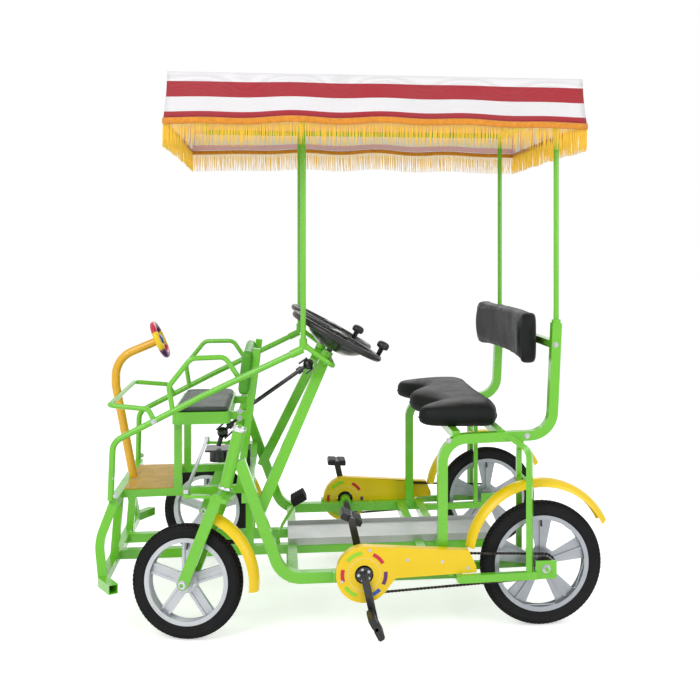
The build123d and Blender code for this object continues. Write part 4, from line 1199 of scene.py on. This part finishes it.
@dataclass
class Canopy:
    """The striped cloth on its frame, with a gold braid and fringe at the hem."""

    length: float = 1.442
    width: float = 1.130
    centre_x: float = FRONT_AXLE_X + 0.651
    hem: float = 1.755
    side_height: float = 0.160
    inset: float = 0.012
    crown: float = 0.028
    stripe: float = 0.086
    strand: float = 0.078
    hem_steps: int = 56
    side_steps: int = 8
    top_steps: int = 8

    @property
    def top_half(self) -> float:
        """Half the width of the top."""
        return self.width / 2 - self.inset

    @property
    def slant(self) -> float:
        """The height of a side panel, along the cloth."""
        return math.hypot(self.side_height, self.inset)

    def ring(self, half_x: float, half_y: float, height: float, wave: float) -> list:
        """One closed ring of the cloth.

        Args:
            half_x: Half its length.
            half_y: Half its width.
            height: Its height.
            wave: How far it waves.

        Returns:
            The ring's points, with hem_steps on each side.
        """
        corners = [(-half_x, -half_y), (half_x, -half_y), (half_x, half_y), (-half_x, half_y)]
        points = []
        for side in range(4):
            (x0, y0), (x1, y1) = corners[side], corners[(side + 1) % 4]
            out = Vector((y1 - y0, x0 - x1)).normalized()
            for k in range(self.hem_steps):
                share = k / self.hem_steps
                bow = math.sin(math.pi * share)
                swell = math.sin(9.0 * math.pi * share + side) + 0.5 * math.sin(23.0 * share + 2 * side)
                ripple = wave * bow * swell
                arch = wave * bow * (2.2 if side % 2 == 0 else 0.8)
                points.append((self.centre_x + x0 + (x1 - x0) * share + out.x * ripple,
                               y0 + (y1 - y0) * share + out.y * ripple, height + 0.9 * ripple + arch))
        return points

    def rings(self) -> list:
        """All rings from the hem to near the middle of the top."""
        half_x, half_y = self.length / 2, self.width / 2
        rings = []
        for k in range(self.side_steps + 1):
            share = k / self.side_steps
            drawn = self.inset * share + 0.0025 * math.sin(math.pi * share)
            rings.append(self.ring(half_x - drawn, half_y - drawn, self.hem + self.side_height * share,
                                   0.005 * (1 - share) ** 0.8))
        top_x = half_x - self.inset
        for k in range(1, self.top_steps + 1):
            share = k / self.top_steps
            height = self.hem + self.side_height + self.crown * math.sin(0.5 * math.pi * share) ** 1.4
            half_length = top_x - (top_x - 0.16) * share
            half_width = self.top_half * (1 - share) + 0.004 * share
            rings.append(self.ring(half_length, half_width, height, 0.0))
        return rings

    def build(self) -> None:
        """Makes the cloth, the braid and the fringe."""
        rings = self.rings()
        count = 4 * self.hem_steps
        last = (len(rings) - 1) * count
        far = 3 * self.hem_steps
        faces = ring_faces(len(rings), count)
        faces += [(last + k, last + k + 1, last + (far - k - 1) % count, last + (far - k) % count)
                  for k in range(self.hem_steps)]
        mesh = plain_mesh("canopy_cloth_sheet", [point for ring in rings for point in ring], faces)
        self.lay_stripes(mesh, count)
        with editing(mesh) as opened:
            bmesh.ops.recalc_face_normals(opened, faces=opened.faces)
            if sum(face.normal.z * face.calc_area() for face in opened.faces) < 0:
                bmesh.ops.reverse_faces(opened, faces=opened.faces)
        mesh.shade_smooth()
        for inside in (False, True):
            mesh.materials.append(self.striped(inside))
        cloth = add_piece("canopy_sheet", mesh, "chassis", None, ("canopy_cloth",))
        thick = cloth.modifiers.new("thickness", "SOLIDIFY")
        thick.thickness = 0.0016
        thick.offset = -1.0
        thick.material_offset = 1
        braid = self.make_braid(rings[0])
        fringe = self.make_fringe(rings[0])

    def lay_stripes(self, mesh: bpy.types.Mesh, count: int) -> None:
        """Gives each face its place across the stripes, in metres from the middle line.

        Args:
            mesh: The cloth.
            count: How many points a ring has.
        """
        layer = mesh.uv_layers.new(name="cloth")
        for face in mesh.polygons:
            ring, step = divmod(face.vertices[0], count)
            end_panel = (step // self.hem_steps) % 2 == 1
            for loop in face.loop_indices:
                vert = mesh.loops[loop].vertex_index
                place = mesh.vertices[vert].co
                across = abs(place.y)
                if ring < self.side_steps and end_panel:
                    across = abs(across - 0.1) * 0.97
                elif ring < self.side_steps:
                    across = self.top_half + self.slant * (self.side_steps - vert // count) / self.side_steps
                layer.data[loop].uv = (place.x, across)

    def striped(self, inside: bool) -> bpy.types.Material:
        """The striped cloth: white and crimson outside, paler inside.

        Args:
            inside: Whether this is the inner face.

        Returns:
            The material.
        """
        finish = CLOTH_INSIDE if inside else CLOTH
        red = colour_of("e2a2a8" if inside else "ad1a2b")
        made = bpy.data.materials.new(finish.name)
        graph = blank_graph(made)
        where = graph.add("ShaderNodeUVMap", uv_map="cloth")
        parted = graph.add("ShaderNodeSeparateXYZ", {0: where.outputs[0]})
        span = self.top_half + self.slant
        share = graph.add("ShaderNodeMath", {0: parted.outputs[1], 1: span}, operation="DIVIDE")
        ramp = graph.add("ShaderNodeValToRGB", {0: share.outputs[0]})
        ramp.color_ramp.interpolation = "CONSTANT"
        edges = [(0.0, False), (self.stripe * 0.5, True)]
        edges += [(self.stripe * (k + 0.5), k % 2 == 0) for k in range(1, 6)]
        edges.append((self.top_half - 0.018, False))
        edges += [(self.top_half + down * self.slant, crimson)
                  for down, crimson in ((0.19, True), (0.52, False), (0.83, True), (0.98, False))]
        stops = ramp.color_ramp.elements
        while len(stops) < len(edges):
            stops.new(0.5)
        for stop, (place, crimson) in zip(stops, edges):
            stop.position = place / span
            stop.color = (*red, 1.0) if crimson else (*finish.colour, 1.0)
        shader = finish.shader(graph, ramp.outputs[0])
        graph.add("ShaderNodeOutputMaterial", {"Surface": shader.outputs[0]})
        return made

    def make_braid(self, hem: list) -> bpy.types.Object:
        """The gold braid sewn along the hem.

        Args:
            hem: The hem's points.

        Returns:
            The braid's object.
        """
        rows = [(0.0012, 0.005), (0.0030, 0.002), (0.0034, -0.007), (0.0030, -0.015), (0.0010, -0.017),
                (0.0, -0.006)]
        middle = Vector((self.centre_x, 0.0))
        points = []
        for x, y, z in hem:
            flat = Vector((x, y)) - middle
            out = Vector((0.0, math.copysign(1.0, flat.y)))
            if abs(flat.x) / self.length > abs(flat.y) / self.width:
                out = Vector((math.copysign(1.0, flat.x), 0.0))
            points += [(x + out.x * push, y + out.y * push, z + rise) for push, rise in rows]
        mesh = mesh_of("canopy_braid", points, ring_faces(len(hem), len(rows), wrap=True))
        return add_piece("canopy_braid", mesh, "chassis", GOLD)

    def make_fringe(self, hem: list) -> bpy.types.Object:
        """The strands that hang from the braid.

        Args:
            hem: The hem's points.

        Returns:
            The fringe's object.
        """
        points = []
        for k, (wide, drop) in enumerate(((0.0011, 0.0), (0.0016, 0.3), (0.0013, 0.65), (0.0006, 1.0))):
            bend = 0.0015 * math.sin(k * 1.4)
            points += [(wide * math.cos(a) + bend, wide * math.sin(a), -self.strand * drop)
                       for a in (0.5, 2.6, 4.7)]
        strand = (points, ring_faces(4, 3) + end_caps(4, 3))
        carrier = loop_mesh("fringe_line", [(x, y, z - 0.013) for x, y, z in hem])
        mesh = Repeats.make("canopy_strands", Pattern.HANGING, strand, carrier, FRINGE, True,
                            Spacing=0.0036, Spread=0.055, Seed=7)
        return add_piece("canopy_strands", mesh, "chassis", None, ("canopy_fringe",))


@dataclass
class Trim:
    """Small pieces on the frame, the brake pedal, the steering shaft and wheels, and the head tubes."""

    bead_pitch: float = 0.004
    sleeve_radius: float = 0.0142
    knob_circle: float = 0.174

    def build(self) -> None:
        """Makes each piece of trim."""
        self.brake_cover()
        self.weld_beads()
        self.yokes()
        self.steering_caps()
        self.headsets()
        self.rail_sleeves()

    def brake_cover(self) -> None:
        """The ribbed rubber on the brake pedal."""
        parts = [prism(rectangle(-0.0285, 0.0285, -0.0475, 0.0475), -0.0135, 0.0140, 0.003)]
        for k in range(6):
            x = -0.022 + 0.0084 * k
            parts.append(prism(rectangle(x, x + 0.0045, -0.042, 0.042), 0.0135, 0.0168))
        place = (Matrix.Translation((FRONT_AXLE_X + 0.384, -0.060, 0.366))
                 @ Matrix.Rotation(math.radians(-28), 4, "Y"))
        mesh = mesh_of("brake_pad_cover", *placed(merged(parts), place), smooth=False)
        add_piece("brake_pad_cover", mesh, "chassis", RUBBER)

    def weld_beads(self) -> None:
        """Short weld beads where tubes meet, under the paint."""
        bead = lathe([(0.0, 0.0045), (0.0028, 0.003), (0.0034, 0.0), (0.0028, -0.003), (0.0, -0.0045)],
                     ORIGIN, 8, closed=False)
        runs = []
        for side in SIDES.values():
            runs += [((x, side * 0.449, 0.211), (x, side * 0.481, 0.211)) for x in (0.863, 0.897)]
            runs += [((x, side * 0.446, 0.205), (x, side * 0.446, 0.177))
                     for x in (0.345, 0.377, 0.825, 0.857)]
            runs.append(((-0.282, side * 0.176, 0.418), (-0.282, side * 0.204, 0.418)))
            runs.append(((0.459, side * 0.205, 0.905), (0.490, side * 0.205, 0.921)))
        draw = random.Random(11)
        places = []
        for run in runs:
            first, second = [Vector((FRONT_AXLE_X + x, y, z)) for x, y, z in run]
            steps = max(3, int((second - first).length / self.bead_pitch))
            for k in range(steps + 1):
                spot = first.lerp(second, k / steps)
                turn = (draw.uniform(-0.3, 0.3), draw.uniform(-0.3, 0.3), draw.uniform(0, 3.0))
                places.append((spot, turn))
        add_copies("weld_beads", bead, places, "chassis", GREEN, smooth=True)

    def yokes(self) -> None:
        """The forks of the steering shaft's two universal joints."""
        sleeve = placed(lathe(rectangle(0.0085, 0.0135, 0.030, 0.052), ORIGIN, 20), TIP_UP)
        ears = [prism(rectangle(-0.010, 0.010, y - 0.003, y + 0.003), -0.010, 0.030, 0.001)
                for y in (-0.0235, 0.0235)]
        upper, middle, lower = [Vector((FRONT_AXLE_X + x, 0.0, z))
                                for x, z in ((0.424, 0.872), (0.215, 0.726), (0.092, 0.612))]
        parts = []
        for joint in (upper, lower):
            turn = (middle - joint).to_track_quat("Z", "Y").to_matrix().to_4x4()
            parts.append(placed(merged([sleeve, *ears]), Matrix.Translation(joint) @ turn))
        mesh = mesh_of("shaft_yokes", *merged(parts), smooth=False)
        add_piece("shaft_yokes", mesh, "chassis", BLACK_PAINT)

    def steering_caps(self) -> None:
        """The dish under each steering wheel, its domed cap, and the rounded spinner knob."""
        dish = [(0.119, -0.0015), (0.121, -0.004), (0.114, -0.017), (0.088, -0.037), (0.056, -0.051),
                (0.018, -0.053), (0.018, -0.050), (0.054, -0.048), (0.085, -0.034), (0.110, -0.015),
                (0.116, -0.004)]
        dome = [(0.0, 0.0215), (0.014, 0.0205), (0.024, 0.0175), (0.030, 0.0145), (0.030, 0.0)]
        knob = [(0.0, 0.0655), (0.012, 0.0645), (0.019, 0.0615), (0.0232, 0.0555), (0.0238, 0.049),
                (0.0226, 0.0415), (0.0195, 0.0375), (0.012, 0.036), (0.0095, 0.034), (0.009, 0.010),
                (0.0, 0.010)]
        for side_name, side in SIDES.items():
            place = (Matrix.Translation((FRONT_AXLE_X + 0.524, side * 0.215, 1.0))
                     @ Matrix.Rotation(math.radians(28.8), 4, "Y") @ TIP_UP)
            spot = about(ORIGIN, self.knob_circle, -math.radians(8 if side < 0 else -60))
            for label, profile, centre, steps, closed, finish in (
                    ("steering_dish_", dish, ORIGIN, 64, True, BLACK_PAINT),
                    ("steering_cap_", dome, ORIGIN, 40, False, BLACK_PAINT),
                    ("spinner_knob_", knob, spot, 28, False, BLACK_PLASTIC)):
                mesh = mesh_of(label + side_name, *lathe(profile, centre, steps, closed), turn=place)
                add_piece(label + side_name, mesh, "steering_wheel_" + side_name, finish)

    def rail_sleeves(self) -> None:
        """The sleeves that clamp the handrails' rear ends to the front posts."""
        parts = []
        for side in SIDES.values():
            rail_end = Vector((FRONT_AXLE_X + 0.390, side * 0.358, 0.966))
            forward = Vector((-0.350, side * -0.028, -0.164)).normalized()
            post = rail_end + Vector((0.006, 0.0, 0.0))
            sleeve = [rail_end + forward * 0.042, rail_end - forward * 0.004]
            parts.append(tube(sleeve, self.sleeve_radius, 20))
            parts.append(tube([post, post + Vector((0.0, 0.0, 0.038))], self.sleeve_radius, 20))
        mesh = mesh_of("rail_sleeves", *merged(parts), smooth=False)
        add_piece("rail_sleeves", mesh, "chassis", GREEN)

    def headsets(self) -> None:
        """The bright cups at both ends of each head tube, and the cap on top."""
        cap = [(0.0, 0.0125), (0.009, 0.0118), (0.0145, 0.0085), (0.0205, 0.0075), (0.0232, 0.0050),
               (0.0232, -0.0080), (0.0213, -0.0085), (0.0213, 0.0)]
        cup = [(0.0213, 0.0), (0.0236, 0.0), (0.0242, 0.002), (0.0232, 0.0095), (0.0213, 0.0105)]
        for side_name, side in SIDES.items():
            lean = (Matrix.Translation((KINGPIN[0], KINGPIN[1] * side, KINGPIN[2]))
                    @ Matrix.Rotation(KINGPIN_LEAN, 4, "Y"))
            for label, profile, along, closed in (("headset_cap_", cap, 0.212, False),
                                                  ("headset_cup_", cup, 0.0005, True)):
                place = lean @ Matrix.Translation((0, 0, along)) @ TIP_UP
                mesh = mesh_of(label + side_name, *lathe(profile, ORIGIN, 36, closed), turn=place)
                add_piece(label + side_name, mesh, "chassis", CHROME)


@dataclass
class Studio:
    """The camera at the photograph's angle, the pale floor and the soft light."""

    camera_place: Point = (FRONT_AXLE_X + 0.319, -3.953, 1.335)
    yaw: float = -6.5
    lens: float = 51.69
    lamp_size: float = 2.6
    lamp_target: Point = (0.0, 0.0, 0.8)

    def build(self) -> None:
        """Makes the camera, floor, world and lamps."""
        lens = bpy.data.cameras.new("camera")
        lens.lens = self.lens
        lens.sensor_width = 36.0
        lens.shift_x = -0.0657
        lens.shift_y = -0.1486
        camera = in_scene("camera", lens)
        camera.location = self.camera_place
        camera.rotation_euler = (math.pi / 2, 0.0, math.radians(self.yaw))
        bpy.context.scene.camera = camera
        self.floor()
        self.world()
        self.lamp("key", (-2.6, -3.6, 3.6), 95.0)
        self.lamp("fill", (3.2, -3.0, 2.4), 45.0)
        self.lamp("back", (0.5, 3.4, 3.4), 55.0)
        bpy.context.scene.view_settings.view_transform = "Standard"

    def share_of(self, graph: Graph, *rays: str) -> bpy.types.NodeSocket:
        """A factor that is 1 for light rays of the named kinds."""
        path = graph.add("ShaderNodeLightPath").outputs
        share = path[rays[0]]
        for ray in rays[1:]:
            share = graph.add("ShaderNodeMath", {0: share, 1: path[ray]}, operation="MAXIMUM").outputs[0]
        return share

    def floor(self) -> None:
        """The pale floor, which the camera sees as white with a soft shadow."""
        corners = [(x, y, 0.0) for x, y in rectangle(-30, 30, -30, 30)]
        mesh = plain_mesh("floor", corners, [(0, 1, 2, 3)])
        floor = in_scene("floor", mesh)
        made = bpy.data.materials.new("pale floor")
        graph = blank_graph(made)
        matt = graph.add("ShaderNodeBsdfDiffuse", {"Color": (0.9, 0.9, 0.9, 1.0)})
        glow = graph.add("ShaderNodeEmission", {"Color": (1.0, 1.0, 1.0, 1.0), "Strength": 0.52})
        both = graph.add("ShaderNodeAddShader", {0: matt.outputs[0], 1: glow.outputs[0]})
        seen = self.share_of(graph, "Is Camera Ray", "Is Glossy Ray")
        mix = graph.add("ShaderNodeMixShader", {0: seen, 1: matt.outputs[0], 2: both.outputs[0]})
        graph.add("ShaderNodeOutputMaterial", {"Surface": mix.outputs[0]})
        mesh.materials.append(made)

    def world(self) -> None:
        """A pale world that looks white to the camera."""
        world = bpy.data.worlds.new("studio")
        bpy.context.scene.world = world
        graph = blank_graph(world)
        plain = (1.0, 1.0, 1.0, 1.0)
        light, white = [graph.add("ShaderNodeBackground", {"Color": plain, "Strength": strength})
                        for strength in (0.55, 1.0)]
        seen = self.share_of(graph, "Is Camera Ray", "Is Glossy Ray", "Is Transmission Ray")
        mix = graph.add("ShaderNodeMixShader", {0: seen, 1: light.outputs[0], 2: white.outputs[0]})
        graph.add("ShaderNodeOutputWorld", {"Surface": mix.outputs[0]})

    def lamp(self, name: str, place: Point, power: float) -> None:
        """Adds one soft lamp that looks at the object.

        Args:
            name: Its name.
            place: Where it stands.
            power: Its power in watts.
        """
        light = bpy.data.lights.new(name, "AREA")
        light.energy = power
        light.size = self.lamp_size
        lamp = in_scene(name, light)
        lamp.location = place
        lamp.rotation_euler = (Vector(place) - Vector(self.lamp_target)).to_track_quat("Z", "Y").to_euler()


def dress_nodes() -> None:
    """Gives every carried-over solid its finish."""
    for name, node in frame["nodes"].items():
        finish = NODE_FINISH.get(name, GREEN)
        for slot in node.material_slots:
            slot.material = finish.material()


def main() -> None:
    """Builds the scene, piece by piece."""
    logging.basicConfig(level=logging.INFO)
    Studio().build()
    dress_nodes()
    Wheels().build()
    Fasteners().build()
    Drive().build()
    ToyWheel().build()
    Trim().build()
    Canopy().build()
    cushions = [
        Cushion("seat_cushion", "rider_seat", "seat_black", BLACK_HIDE, 0.0075, 26, 0.002, 0.014, 0.6843,
                0.34),
        Cushion("backrest", "rider_backrest", "seat_black", BLACK_HIDE, 0.006, 20, 0.002, 0.009),
        Cushion("bench_pad", "bench_cushion", "bench_grey", GREY_HIDE, 0.004, 3, 0.0005, 0.004, 0.7323, 0.3),
        Cushion("bench_back", "bench_back_panel", "bench_green", GREEN_HIDE, 0.0055, 8, 0.002, 0.006),
    ]
    for cushion in cushions:
        cushion.build()


if __name__ == "__main__":
    main()
